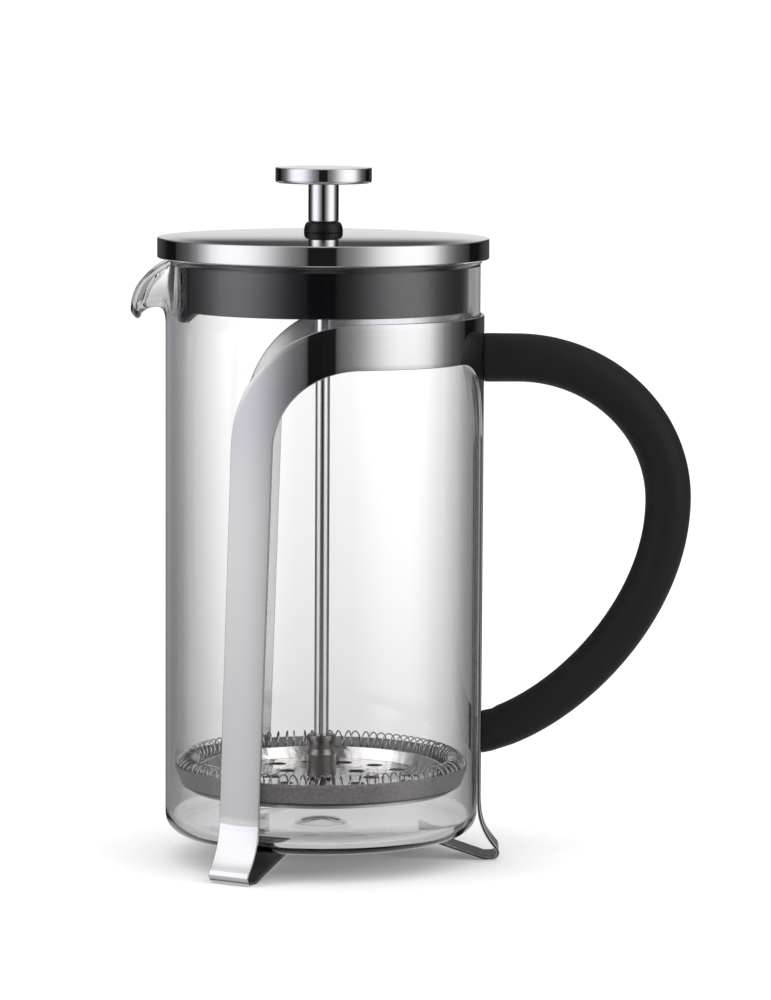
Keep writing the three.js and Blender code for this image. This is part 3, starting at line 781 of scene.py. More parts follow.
def strip_point(at, u):
    """A point of the strip's middle sheet at a station, u across its width.

    A station is its place along the band, its height, its radius, the width's direction along
    and up, and how much of the band's round the sheet keeps there.
    """
    s, z, r, ws, wz, curl = at
    turn = ws * u / STRIP_R
    out = (r + STRIP_R * math.cos(turn) - STRIP_R) * curl + r * (1 - curl)
    side = STRIP_R * math.sin(turn) * curl + ws * u * (1 - curl)
    bearing = s / STRIP_R
    return Vector((out * math.cos(bearing) - side * math.sin(bearing),
                   out * math.sin(bearing) + side * math.cos(bearing), z + wz * u))


def foot_stations(s, lean):
    """From the start of the flare, round the toe and back under the beaker."""
    toe = Vector((STRIP_R + FOOT_REACH, TOE_R + STRIP / 2))

    def on_toe(angle):
        return toe + TOE_R * Vector((math.cos(angle), math.sin(angle)))

    toe_start = on_toe(TOE_START)
    heading = Vector((math.sin(TOE_START), -math.cos(TOE_START)))
    flare = bezier(Vector((STRIP_R, FLARE_TOP)), Vector((STRIP_R, FLARE_TOP * 0.6)),
                   toe_start - heading * FLARE_PULL, toe_start, FLARE_STEPS)
    path = [point for point, _ in flare]
    path += [on_toe(TOE_START - (TOE_START + math.pi / 2) * i / TOE_STEPS)
             for i in range(1, TOE_STEPS + 1)]
    tongue_end = Vector((toe.x - TOE_FLAT - FOOT_RETURN, GLASS.bottom - FIT - STRIP / 2))
    flat_end = Vector((toe.x - TOE_FLAT, STRIP / 2))
    path += [path[-1].lerp(flat_end, k / 3) for k in (1, 2)]
    rise = (tongue_end - flat_end).normalized()
    path += [flat_end - Vector((1, 0)) * 0.25, flat_end + rise * 0.25]
    path += [flat_end.lerp(tongue_end, k / TONGUE_STEPS) for k in range(1, TONGUE_STEPS + 1)]
    stations = []
    for i, point in enumerate(path):
        curl = eased(max(0.0, 1 - (i + 1) / FLARE_STEPS))
        stations.append((s, point.y, point.x, 1.0, lean * curl, curl))
    return stations


def arm_stations():
    """Along the band, round the arm's bend and down the leg to the start of the flare."""
    start = HALF + ARCH_RUN
    stations = [(start + (BAND_REACH - start) * i / BAND_STEPS, BAND_MID, STRIP_R, 0.0, 1.0, 1.0)
                for i in range(1, BAND_STEPS + 1)]
    leg_top = BAND_MID - ARM_DROP
    for i in range(1, ARM_STEPS + 1):
        angle = math.pi / 2 * (1 - i / ARM_STEPS)
        heading = Vector((ARM_RUN * math.sin(angle), -ARM_DROP * math.cos(angle))).normalized()
        stations.append((BAND_REACH + ARM_RUN * math.cos(angle),
                         leg_top + ARM_DROP * math.sin(angle), STRIP_R,
                         -heading.y, heading.x, 1.0))
    leg_s = BAND_REACH + ARM_RUN
    drop = Vector((LEG_LEAN, FLARE_TOP - leg_top)).normalized()
    for i in range(1, LEG_STEPS + 1):
        share = i / LEG_STEPS
        ease = min(1, share * 4)
        across = Vector((1, 0)).lerp(Vector((-drop.y, drop.x)), ease).normalized()
        stations.append((leg_s + LEG_LEAN * share, leg_top + (FLARE_TOP - leg_top) * share,
                         STRIP_R, across.x, across.y, 1.0))
    return stations + foot_stations(leg_s + LEG_LEAN, LEG_LEAN / (leg_top - FLARE_TOP))


def stand_sheet():
    """The middle sheet of the whole strip: band, arms, legs and feet, in quads."""
    points, faces, known = [], [], {}

    def number(point):
        key = tuple(round(value, 4) for value in point)
        if key not in known:
            known[key] = len(points)
            points.append(point)
        return known[key]

    def band_column(s, low):
        rows = [(BAND_TOP * (1 - k / ROWS) + low * k / ROWS) for k in range(ROWS + 1)]
        return [strip_point((s, z, STRIP_R, 0.0, 1.0, 1.0), 0) for z in rows]

    split = BAND_LOW - ARCH_DROP
    leg_columns = [HALF * k / 4 for k in range(5)]
    columns = [band_column(s, split) for s in leg_columns]
    for i in range(1, ARCH_STEPS + 1):
        angle = math.radians(90 * i / ARCH_STEPS)
        columns.append(band_column(HALF + ARCH_RUN * (1 - math.cos(angle)),
                                   BAND_LOW - ARCH_DROP * (1 - math.sin(angle))))
    columns += [[strip_point(at, HALF - STRIP_WIDTH * k / ROWS) for k in range(ROWS + 1)]
                for at in arm_stations()]
    for flip in (1, -1):
        side = [[number(Vector((p.x, p.y * flip, p.z))) for p in column] for column in columns]
        for one, two in zip(side, side[1:]):
            for k in range(ROWS):
                face = [one[k], one[k + 1], two[k + 1], two[k]]
                faces.append(face if flip > 0 else face[::-1])
    stations = [(0.0, split + (FLARE_TOP - split) * i / HANDLE_LEG_STEPS, STRIP_R, 1.0, 0.0, 1.0)
                for i in range(HANDLE_LEG_STEPS + 1)]
    across = [-s for s in reversed(leg_columns[1:])] + leg_columns
    grid = [[number(strip_point(at, u)) for u in across]
            for at in stations + foot_stations(0.0, 0.0)]
    for one, two in zip(grid, grid[1:]):
        for k in range(len(across) - 1):
            faces.append([one[k], two[k], two[k + 1], one[k + 1]])
    return points, faces


def along_x(shape, z):
    """Turns a shape made round Z so that its axis lies along +X at a height."""
    points, faces = shape
    return [Vector((p.z, p.y, z - p.x)) for p in points], faces


SCREW_R, SCREW_HEAD_R, COUNTERSINK_R = 1.6, 2.95, 3.3
SHANK_HOLE_R = 1.9

stand = bare_object("stand", stand_sheet())
modify(stand, "Thickness", "SOLIDIFY", thickness=STRIP * MM, offset=0, use_even_offset=True)
modify(stand, "Edge", "BEVEL", width=0.24 * MM, segments=3, limit_method="ANGLE",
       angle_limit=math.radians(60), use_clamp_overlap=False)
settle(stand)
for screw in SCREWS.values():
    z = (screw.bottom + screw.top) / 2
    hole = turned([(0, STRIP_R - 2), (COUNTERSINK_R + 1.5, STRIP_R - 2),
                   (COUNTERSINK_R, STRIP_R - STRIP / 2), (SHANK_HOLE_R, STRIP_R + STRIP / 2),
                   (SHANK_HOLE_R, STRIP_R + 2), (0, STRIP_R + 2)], 32)
    cut_with(stand, bare_object("screw_hole", along_x(hole, z)))
modify(stand, "Shading", "WEIGHTED_NORMAL", keep_sharp=False)
smooth(stand.data)
settle(stand)
# Marks the feet's tongues under the beaker, where the stand's finish paints shade and adds
# roughness.
tongue = stand.data.attributes.new("tongue", "FLOAT", "FACE")
tongue.data.foreach_set("value", [
    float(face.normal.z > 0.85 and face.center.z < (GLASS.bottom + 0.5) * MM)
    for face in stand.data.polygons])
STRIP_STEEL = coated("strip_steel", strip_steel, Metallic=1.0)
present(stand, STRIP_STEEL, "frame", "frame_stand", sharp=0)

# ---- Handle -----------------------------------------------------------------

GRIP_D_TOP, GRIP_D_LOW = 15.1, 13.0
GRIP_DROP, GRIP_STRAIGHT, GRIP_REACH, GRIP_WAIST, GRIP_LOW = 13.3, 10.3, 57.2, 112.3, 39.4
GRIP_LOW_SLOPE, GRIP_LEAD = math.radians(12), GRIP_REACH * 0.43
GRIP_FULL_UP, GRIP_FULL_DOWN = 0.55, 0.49
END_STEPS, UP_STEPS, DOWN_STEPS = 8, 56, 72
GRIP_SEAT = STRIP_OUT + 0.05
GRIP_CLEAR = 4
GRIP_SIDES = 40
# How far the end's edge is drawn in, and how far back, ring by ring.
GRIP_END = ((0, 3.2), (0, 1.6), (0, 0.6), (0.05, 0.25), (0.15, 0.08), (0.35, 0))


def handle_line():
    """Points and headings of the grip's middle line, from the upper end to the lower."""
    top = BAND_TOP - GRIP_DROP
    bend = STRIP_OUT + GRIP_STRAIGHT
    far = STRIP_OUT + GRIP_REACH
    upper, lower = top - GRIP_WAIST, GRIP_WAIST - GRIP_LOW
    start, turn, waist = Vector((STRIP_OUT, top)), Vector((bend, top)), Vector((far, GRIP_WAIST))
    line = [(start.lerp(turn, k / END_STEPS), Vector((1, 0))) for k in range(END_STEPS + 1)]
    line += bezier(turn, Vector((bend + (far - bend) * GRIP_FULL_UP, top)),
                   Vector((far, GRIP_WAIST + upper * GRIP_FULL_UP)), waist, UP_STEPS)
    line += bezier(waist, Vector((far, GRIP_WAIST - lower * GRIP_FULL_DOWN)),
                   Vector((STRIP_OUT + GRIP_LEAD * math.cos(GRIP_LOW_SLOPE),
                           GRIP_LOW + GRIP_LEAD * math.sin(GRIP_LOW_SLOPE))),
                   Vector((STRIP_OUT, GRIP_LOW)), DOWN_STEPS)
    return line


def grip_end(ring, heading, r):
    """Carries a ring on to the strip's round face, with a small rounded edge."""
    middle = sum(ring, Vector()) / len(ring)
    out = Vector((heading.x, 0, heading.y))
    made = []
    for inset, back in GRIP_END:
        ends = []
        for point in ring:
            p = middle + (point - middle) * (1 - inset / r)
            reach = math.sqrt(GRIP_SEAT ** 2 - p.y ** 2) + back
            ends.append(p + out * ((reach - p.x) / out.x))
        made.append(ends)
    return made


def handle_grip():
    """The grip, round all the way and thinner towards its lower end."""
    line = handle_line()
    run = [0.0]
    for (a, _), (b, _) in zip(line, line[1:]):
        run.append(run[-1] + (b - a).length)
    rings = []
    for (centre, heading), length in zip(line, run):
        r = (GRIP_D_TOP + (GRIP_D_LOW - GRIP_D_TOP) * length / run[-1]) / 2
        ring = []
        for i in range(GRIP_SIDES):
            angle = 2 * math.pi * i / GRIP_SIDES
            across, side = r * math.cos(angle), r * math.sin(angle)
            ring.append(Vector((centre.x - heading.y * across, side,
                                centre.y + heading.x * across)))
        rings.append(ring)
    first = grip_end(rings[0], Vector((1, 0)), GRIP_D_TOP / 2)
    last = grip_end(rings[-1], -line[-1][1], GRIP_D_LOW / 2)
    body = [ring for ring in rings if min(p.x for p in ring) > GRIP_SEAT + GRIP_CLEAR]
    return swept(first[::-1] + body + last)


grip = bare_object("handle", handle_grip())
present(grip, BLACK_SOFT, "frame", "handle_grip", sharp=0)

SOCKET_R, SOCKET_FLOOR, SOCKET_DEPTH, KEY_R = 1.35, 0.55, 0.75, 1.9

for end, screw in SCREWS.items():
    z = (screw.bottom + screw.top) / 2
    head, tip = screw.low.x, screw.high.x
    outline = softened([(0, head + SOCKET_FLOOR), (SOCKET_R, head + SOCKET_FLOOR),
                        (SOCKET_R, head, 0.06), (SCREW_HEAD_R, head, 0.12),
                        (SCREW_R, head + 1.05, 0.1), (SCREW_R, tip, 0.25), (0, tip)], 3)
    item = bare_object("screw_" + end, along_x(turned(outline, 48), z))
    key = turned([(0, head - 1), (KEY_R, head - 1), (KEY_R, head + SOCKET_DEPTH),
                  (0, head + SOCKET_DEPTH)], 6)
    cut_with(item, bare_object("screw_slot", along_x(key, z)))
    present(item, SATIN, "frame", "handle_screw_" + end)
for end in SCREWS:
    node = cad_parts["handle_insert_" + end]
    node.data.materials.clear()
    node.data.materials.append(BRASS)

# ---- Lid --------------------------------------------------------------------

SKIRT, SHEET = 6.1, 0.8
LID_EDGE = COVER.bottom + SKIRT
SEAT_DEPTH, SEAT_FLOOR = 0.5, 1.3
# The crown's rows run inwards from its edge, as shares of the radius.
CROWN_EDGE, CROWN_STEP, CROWN_ROWS = 0.93, 0.02, 40


def lid_cover():
    """The cover: a domed sheet with a straight skirt, sunk in the middle for the bush."""
    dome = COVER.top - LID_EDGE
    r = COVER.r
    inside = r - SHEET
    sink = BUSH.r + FIT
    shares = [CROWN_EDGE - CROWN_STEP * k for k in range(CROWN_ROWS)]

    def crown(drop, shares):
        """Points of the domed sheet, drop below its upper face."""
        return [(share * r, LID_EDGE - drop + dome * (1 - 0.7 * share ** 2 - 0.3 * share ** 6))
                for share in shares]

    inner = crown(SHEET, reversed(shares))
    outer = crown(0, shares)
    rim = softened([inner[-1], (inside, LID_EDGE - SHEET, 0.4), (inside, COVER.bottom, 0.2),
                    (r, COVER.bottom, 0.35), (r, LID_EDGE + 0.1, 0.42), outer[0]], 6)
    outline = [(BUSH_HOLE, COVER.top - SEAT_FLOOR), (sink + SHEET, COVER.top - SEAT_FLOOR),
               *inner[:-1], *rim, *outer[1:], (sink + 0.15, COVER.top),
               (sink, COVER.top - 0.15), (sink, COVER.top - SEAT_DEPTH),
               (BUSH_HOLE, COVER.top - SEAT_DEPTH)]
    return turned(outline, 192, closed=True)


cover = bare_object("lid", lid_cover())
present(cover, POLISHED, "lid", "lid_cover", sharp=30)

COLLAR_WALL, COLLAR_PLATE = 2.0, 2.0
COLLAR_R = BEAKER_IN - 1.3
COLLAR_SEAT = GLASS.top + FIT
SHOULDER, SHOULDER_FOOT, SHOULDER_TOP = 0.7, COLLAR_SEAT - 2.1, COLLAR_SEAT - 1.6
STRAINER_DROP, STRAINER_ZONE, STRAINER_FADE = 3.4, 5.2, 4.2
STRAINER_EDGE, STRAINER_RAMP = math.radians(27), 0.13
SLOT_WIDTH, SLOT_HEIGHT, SLOT_PITCH, SLOT_PAIRS = 1.5, 13.0, 7, 4


def lid_collar():
    """The collar: flange, shoulder and wall, cut higher outside the strainer at the spout."""
    low, top = COLLAR.bottom, COLLAR.top
    zone = low + STRAINER_ZONE
    inner = COLLAR_R - COLLAR_WALL
    shoulder = COLLAR_R + SHOULDER
    outline = softened([
        (BUSH_HOLE, top - COLLAR_PLATE), (inner, top - COLLAR_PLATE, 0.8), (inner, zone),
        (inner, low, 0.35), (COLLAR_R, low, 0.5), (COLLAR_R, zone),
        (COLLAR_R, SHOULDER_FOOT, 0.3), (shoulder, SHOULDER_TOP, 0.3),
        (shoulder, COLLAR_SEAT, 0.15), (COLLAR.r, COLLAR_SEAT, 0.2), (COLLAR.r, top, 0.4),
        (BUSH_HOLE, top)], 5, closed=True)
    points, faces = turned(outline, 180, closed=True)
    for point in points:
        if point.z > zone:
            continue
        bearing = abs(math.atan2(point.y, -point.x))
        share = clamped((bearing - STRAINER_EDGE + STRAINER_RAMP) / (2 * STRAINER_RAMP))
        fade = min(1, (zone - point.z) / STRAINER_FADE)
        point.z += STRAINER_DROP * eased(share) * fade
    return points, faces


def slot_tree():
    """Geometry nodes: a fan of upright slots, cut out of the incoming mesh."""
    maker, size = growing("Strainer slots", Axis="Vector", Radius="Float", Height="Float",
                          Slot_Size="Vector", Pitch="Float", Slots="Int", Finish="Material")
    box = maker.node("GeometryNodeMeshCube", None, Size=size.Slot_Size)
    moved = maker.node("GeometryNodeTransform", None, box,
                       Translation=maker.vector(size.Radius * -1, None, size.Height))
    line = maker.node("GeometryNodeMeshLine", None, Count=size.Slots)
    stack = maker.node("GeometryNodeSetPosition", None, line, Position=size.Axis)
    index = maker.node("GeometryNodeInputIndex")
    angle = (index - (size.Slots - 1) * 0.5) * size.Pitch
    fan = maker.node("GeometryNodeInstanceOnPoints", None, stack, Instance=moved,
                     Rotation=maker.vector(None, None, angle))
    cutter = maker.node("GeometryNodeRealizeInstances", None, fan)
    cut = maker.node("GeometryNodeMeshBoolean", {"operation": "DIFFERENCE", "solver": "EXACT"},
                     Mesh_1=size.Geometry, Mesh_2=cutter)
    return whole_tree(maker, cut, size.Finish)


slot_middle = COLLAR.bottom + STRAINER_DROP + COLLAR_WALL / 2 + SLOT_HEIGHT / 2
collar = grown(bare_object("collar", lid_collar()), slot_tree(), Axis=(AXIS * MM, 0, 0),
               Radius=(COLLAR_R - COLLAR_WALL / 2) * MM, Height=slot_middle * MM,
               Slot_Size=(3 * COLLAR_WALL * MM, SLOT_WIDTH * MM, SLOT_HEIGHT * MM),
               Pitch=math.radians(SLOT_PITCH), Slots=2 * SLOT_PAIRS + 1, Finish=BLACK_GLOSS)
present(collar, BLACK_GLOSS, "lid", "lid_collar")

head_floor = BUSH.top - 0.4
bush = turned_object("bush", [
    (LID_BORE, BUSH.bottom, 0.2), (BUSH_NECK, BUSH.bottom, 0.3), (BUSH_NECK, head_floor, 0.1),
    (BUSH.r, head_floor, 0.1), (BUSH.r, BUSH.top, 0.15), (LID_BORE, BUSH.top, 0.15)],
    columns=64, steps=4, ring=True)
present(bush, SATIN, "lid_carrier", "lid_bush")
retainer_bore = BUSH_NECK + 0.1
retainer = turned_object("retainer", [
    (retainer_bore, RETAINER.bottom, 0.15), (RETAINER.r, RETAINER.bottom, 0.3),
    (RETAINER.r, RETAINER.top, 0.3), (retainer_bore, RETAINER.top, 0.15)],
    columns=64, steps=4, ring=True)
present(retainer, SATIN, "lid_carrier", "bush_retainer")

# ---- Plunger ----------------------------------------------------------------

# How often the coil's pitch wavers on its way round.
WAVERS = 97.0


def coil_tree():
    """Geometry nodes: a wire wound round a ring."""
    maker, size = growing("Coil spring", Centre="Vector", Ring_Radius="Float",
                          Turn_Radius="Float", Wire_Radius="Float", Turns="Int",
                          Points_per_Turn="Int", Unevenness="Float", Seed="Int",
                          Finish="Material")
    count = size.Turns * size.Points_per_Turn
    ring = maker.node("GeometryNodeCurvePrimitiveCircle", None, Resolution=count)
    share = maker.node("GeometryNodeInputIndex") / count
    wobble = maker.node("ShaderNodeTexNoise", {"noise_dimensions": "1D"},
                        W=share * WAVERS + size.Seed, Scale=1.0)
    major = share * (2 * math.pi) + (wobble - 0.5) * size.Unevenness
    minor = share * size.Turns * (2 * math.pi)
    reach = size.Ring_Radius + minor.cosine() * size.Turn_Radius
    place = maker.vector(reach * major.cosine(), reach * major.sine(),
                         minor.sine() * size.Turn_Radius)
    there = maker.node("ShaderNodeVectorMath", {"operation": "ADD"}, place, size.Centre)
    wound = maker.node("GeometryNodeSetPosition", None, ring, Position=there)
    wire = maker.node("GeometryNodeCurvePrimitiveCircle", None, Resolution=6,
                      Radius=size.Wire_Radius)
    tube = maker.node("GeometryNodeCurveToMesh", None, wound, Profile_Curve=wire)
    return whole_tree(maker, tube, size.Finish)


WIRE_R = 0.24
coil = grown_alone("coil_spring", coil_tree(),
                   Centre=(AXIS * MM, 0, (COIL.bottom + COIL.top) / 2 * MM),
                   Ring_Radius=(COIL.r - COIL.height / 2) * MM,
                   Turn_Radius=(COIL.height / 2 - WIRE_R) * MM, Wire_Radius=WIRE_R * MM,
                   Turns=92, Points_per_Turn=16, Unevenness=0.05, Seed=7, Finish=SPRING_WIRE)
present(coil, SPRING_WIRE, "plunger", "spring_coil", sharp=0)


def plate_tree():
    """Geometry nodes: a flat disc with a bore and two circles of round holes."""
    maker, size = growing("Perforated plate", Centre="Vector", Plate_Radius="Float",
                          Bore="Float", Thickness="Float", Inner_Holes="Int",
                          Inner_Circle="Float", Outer_Holes="Int", Outer_Circle="Float",
                          Hole_Radius="Float", Finish="Material")

    def circle(radius, points):
        return maker.node("GeometryNodeCurvePrimitiveCircle", None, Resolution=points,
                          Radius=radius)

    def hole_circle(count, radius, turned_on):
        points = maker.node("GeometryNodeCurveToPoints", {"mode": "COUNT"},
                            Curve=circle(radius, 96), Count=count)
        holes = maker.node("GeometryNodeInstanceOnPoints", None, points,
                           Instance=circle(size.Hole_Radius, 20))
        return maker.node("GeometryNodeTransform", None, holes, Rotation=(0, 0, turned_on))

    def together(*shapes):
        join = maker.node("GeometryNodeJoinGeometry")
        for shape in shapes:
            maker.feed(join.socket.node.inputs[0], shape)
        return join

    lines = together(circle(size.Plate_Radius, 128), circle(size.Bore, 32),
                     hole_circle(size.Inner_Holes, size.Inner_Circle, 0.0),
                     hole_circle(size.Outer_Holes, size.Outer_Circle, 0.14))
    plain = maker.node("GeometryNodeRealizeInstances", None, lines)
    sheet = maker.node("GeometryNodeFillCurve", None, plain)
    thick = maker.node("GeometryNodeExtrudeMesh", None, sheet, Offset=(0, 0, 1),
                       Offset_Scale=size.Thickness, Individual=False)
    under = maker.node("GeometryNodeFlipFaces", None, sheet)
    weld = maker.node("GeometryNodeMergeByDistance", None, together(thick, under),
                      Distance=1e-6)
    moved = maker.node("GeometryNodeTransform", None, weld, Translation=size.Centre)
    return whole_tree(maker, moved, size.Finish)


def perforated(name, bottom, radius, thickness, hole_radius, inner, outer, finish):
    """A perforated plate; inner and outer hold each circle's number of holes and radius."""
    return grown_alone(name, PERFORATED, Centre=(AXIS * MM, 0, bottom * MM),
                       Plate_Radius=radius * MM, Bore=ROD_BORE * MM, Thickness=thickness * MM,
                       Inner_Holes=inner[0], Inner_Circle=inner[1] * MM,
                       Outer_Holes=outer[0], Outer_Circle=outer[1] * MM,
                       Hole_Radius=hole_radius * MM, Finish=finish)


PERFORATED = plate_tree()
PLATE = 0.8
PLATE_EDGE = SPRING_PLATE.r - 1.2
PLATE_FLAT = PLATE_EDGE - 0.9
PLATE_FACE = SPRING_PLATE.bottom + PLATE

spring_plate = perforated("spring_plate", SPRING_PLATE.bottom, PLATE_FLAT, PLATE, 2.6,
                          (8, PLATE_EDGE * 0.42), (16, PLATE_EDGE * 0.75), PRESSED)
lip = turned_object("plate_lip", [
    (PLATE_FLAT, SPRING_PLATE.bottom), (PLATE_EDGE, SPRING_PLATE.bottom, 0.8),
    (SPRING_PLATE.r, SPRING_PLATE.top, 0.3), (SPRING_PLATE.r - PLATE, SPRING_PLATE.top, 0.3),
    (PLATE_EDGE - PLATE, PLATE_FACE, 0.5), (PLATE_FLAT, PLATE_FACE)], columns=128)
merged(spring_plate, lip)
present(spring_plate, PRESSED, "plunger", "spring_plate", sharp=30)

cross_plate = perforated("cross_plate", CROSS.bottom, CROSS.r, CROSS.height, 3.4,
                         (6, CROSS.r * 0.36), (12, CROSS.r * 0.72), SATIN)
present(cross_plate, SATIN, "plunger", "cross_plate", sharp=30)

GAUZE_THICK, GAUZE_LEAN, GAUZE_IN = 0.32, 2.5, 0.35
WEAVE_PITCH = 0.52


def gauze_dish():
    """The pressed gauze and, for each point, its place on the flat disc it was cut as."""
    low, top = GAUZE.bottom, GAUZE.top - 0.5
    edge = GAUZE.r - GAUZE_IN
    outer = softened([(ROD_BORE, low), (GAUZE.r - GAUZE_LEAN, low, 1.5),
                      (edge, GAUZE.top - 1.5, 1.0), (edge, top)], 6)
    inner = []
    for r, z in outer:
        up = clamped((z - low) / 2)
        inner.append((r - 0.3 * up, z + GAUZE_THICK * (1 - up) + 0.1 * up))
    inner[-1] = (edge - GAUZE_THICK, top)
    run = [ROD_BORE]
    for (r0, z0), (r1, z1) in zip(outer, outer[1:]):
        run.append(run[-1] + math.hypot(r1 - r0, z1 - z0))
    columns = 160
    points, faces = turned(outer + inner[::-1], columns, closed=True)
    flat = []
    for length in run + run[::-1]:
        for i in range(columns):
            angle = 2 * math.pi * i / columns
            flat.append((length * math.cos(angle), length * math.sin(angle)))
    return points, faces, flat


def gauze_object():
    """The gauze with its weave laid out in a UV map and its inner face marked."""
    points, faces, flat = gauze_dish()
    mesh = placed_mesh("gauze", points, faces)
    layer = mesh.uv_layers.new(name="weave")
    for loop in mesh.loops:
        x, y = flat[loop.vertex_index]
        layer.data[loop.index].uv = (x / WEAVE_PITCH, y / WEAVE_PITCH)
    # Marks the inner face, whose paler, less metallic tone in the gauze finish is painted light.
    inside = mesh.attributes.new("inside", "FLOAT", "POINT")
    inside.data.foreach_set("value", [float(i >= len(points) / 2) for i in range(len(points))])
    return linked("gauze", mesh)


gauze = gauze_object()
present(gauze, GAUZE_WIRE, "plunger", "filter_mesh", sharp=50)

hub_waist = HUB.r * 0.86
waist_low, waist_start, waist_end, waist_high = (
    HUB.bottom + HUB.height * share for share in (0.55, 0.66, 0.78, 0.88))
hub = turned_object("hub", [
    (ROD_BORE, HUB.bottom), (HUB.r, HUB.bottom, 0.4), (HUB.r, waist_low, 0.6),
    (hub_waist, waist_start, 0.6), (hub_waist, waist_end, 0.6), (HUB.r, waist_high, 0.5),
    (HUB.r, HUB.top, 0.5), (ROD_BORE, HUB.top)], columns=96, ring=True)
present(hub, DARK_STEEL, "plunger", "rod_hub")

rod = turned_object("rod", [(0, ROD.bottom), (ROD.r, ROD.bottom, 0.5), (ROD.r, ROD.top, 0.4),
                            (0, ROD.top)], columns=64)
present(rod, POLISHED, "plunger", "plunger_rod")

nut = turned_object("nut", [(0, NUT.bottom), (NUT.r, NUT.bottom), (NUT.r, NUT.top),
                            (0, NUT.top)], columns=6)
nut_bore = turned([(0, NUT.bottom - 1), (ROD_BORE, NUT.bottom - 1), (ROD_BORE, NUT.top + 1),
                   (0, NUT.top + 1)], 32)
cut_with(nut, bare_object("nut_bore", nut_bore))
modify(nut, "Edge", "BEVEL", width=0.2 * MM, segments=2, limit_method="ANGLE",
       angle_limit=math.radians(40))
settle(nut)
present(nut, SATIN, "plunger", "hub_nut", sharp=20)

BUMPER_LIFT, BULGE_LIFT, BULGE_END = 0.06, 0.2, 84
bumper_foot = COVER.top + BUMPER_LIFT
bulge_foot = bumper_foot + BULGE_LIFT
bulge_rise = BUMPER.top - bumper_foot - BULGE_LIFT
bulge = [(STEM.r + (BUMPER.r - STEM.r) * r, bulge_foot + bulge_rise * z)
         for r, z in arc(0, 0, 1, 0, BULGE_END, 12)]
bumper = turned_object("bumper", [(LID_BORE, bumper_foot, 0.1), (BUMPER.r, bumper_foot, 0.08),
                                  *bulge, (LID_BORE, BUMPER.top, 0.1)],
                       columns=96, steps=4, ring=True)
present(bumper, RUBBER, "plunger", "bumper_ring")

STEM_BORE_DEPTH = 7
stem_roof = STEM.bottom + STEM_BORE_DEPTH
stem = turned_object("stem", [
    (0, stem_roof), (LID_BORE, stem_roof, 0.2), (LID_BORE, STEM.bottom, 0.15),
    (STEM.r, STEM.bottom, 0.35), (STEM.r, STEM.top, 0.1), (0, STEM.top)], columns=96)
present(stem, POLISHED, "plunger", "knob_stem")

knob = turned_object("knob", [(0, KNOB.bottom), (KNOB.r, KNOB.bottom, 0.9),
                              (KNOB.r, KNOB.top, 0.35), (0, KNOB.top)], columns=160, steps=7)
present(knob, POLISHED, "plunger", "knob_disc", sharp=30)

# ---- Studio -----------------------------------------------------------------

FLOOR_REACH = 30
floor_mesh = bpy.data.meshes.new("floor")
floor_mesh.from_pydata([(x * FLOOR_REACH, y * FLOOR_REACH, 0)
                        for x, y in ((-1, -1), (1, -1), (1, 1), (-1, 1))], [], [(0, 1, 2, 3)])
floor_mesh.materials.append(PAPER)
floor = linked("floor", floor_mesh)
floor.visible_glossy = False
floor.visible_transmission = False
floor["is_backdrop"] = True

# How bright the tent is where it is seen, mirrored, and seen through the glass.
TENT, BOXES, BEHIND_GLASS = 1.22, 1.46, 1.15
# The steel's cool tint on the left, and how much of it there is away from the horizon.
LEFT_TINT, LEAST_TINT = (0.955, 0.94, 1.065), 0.12


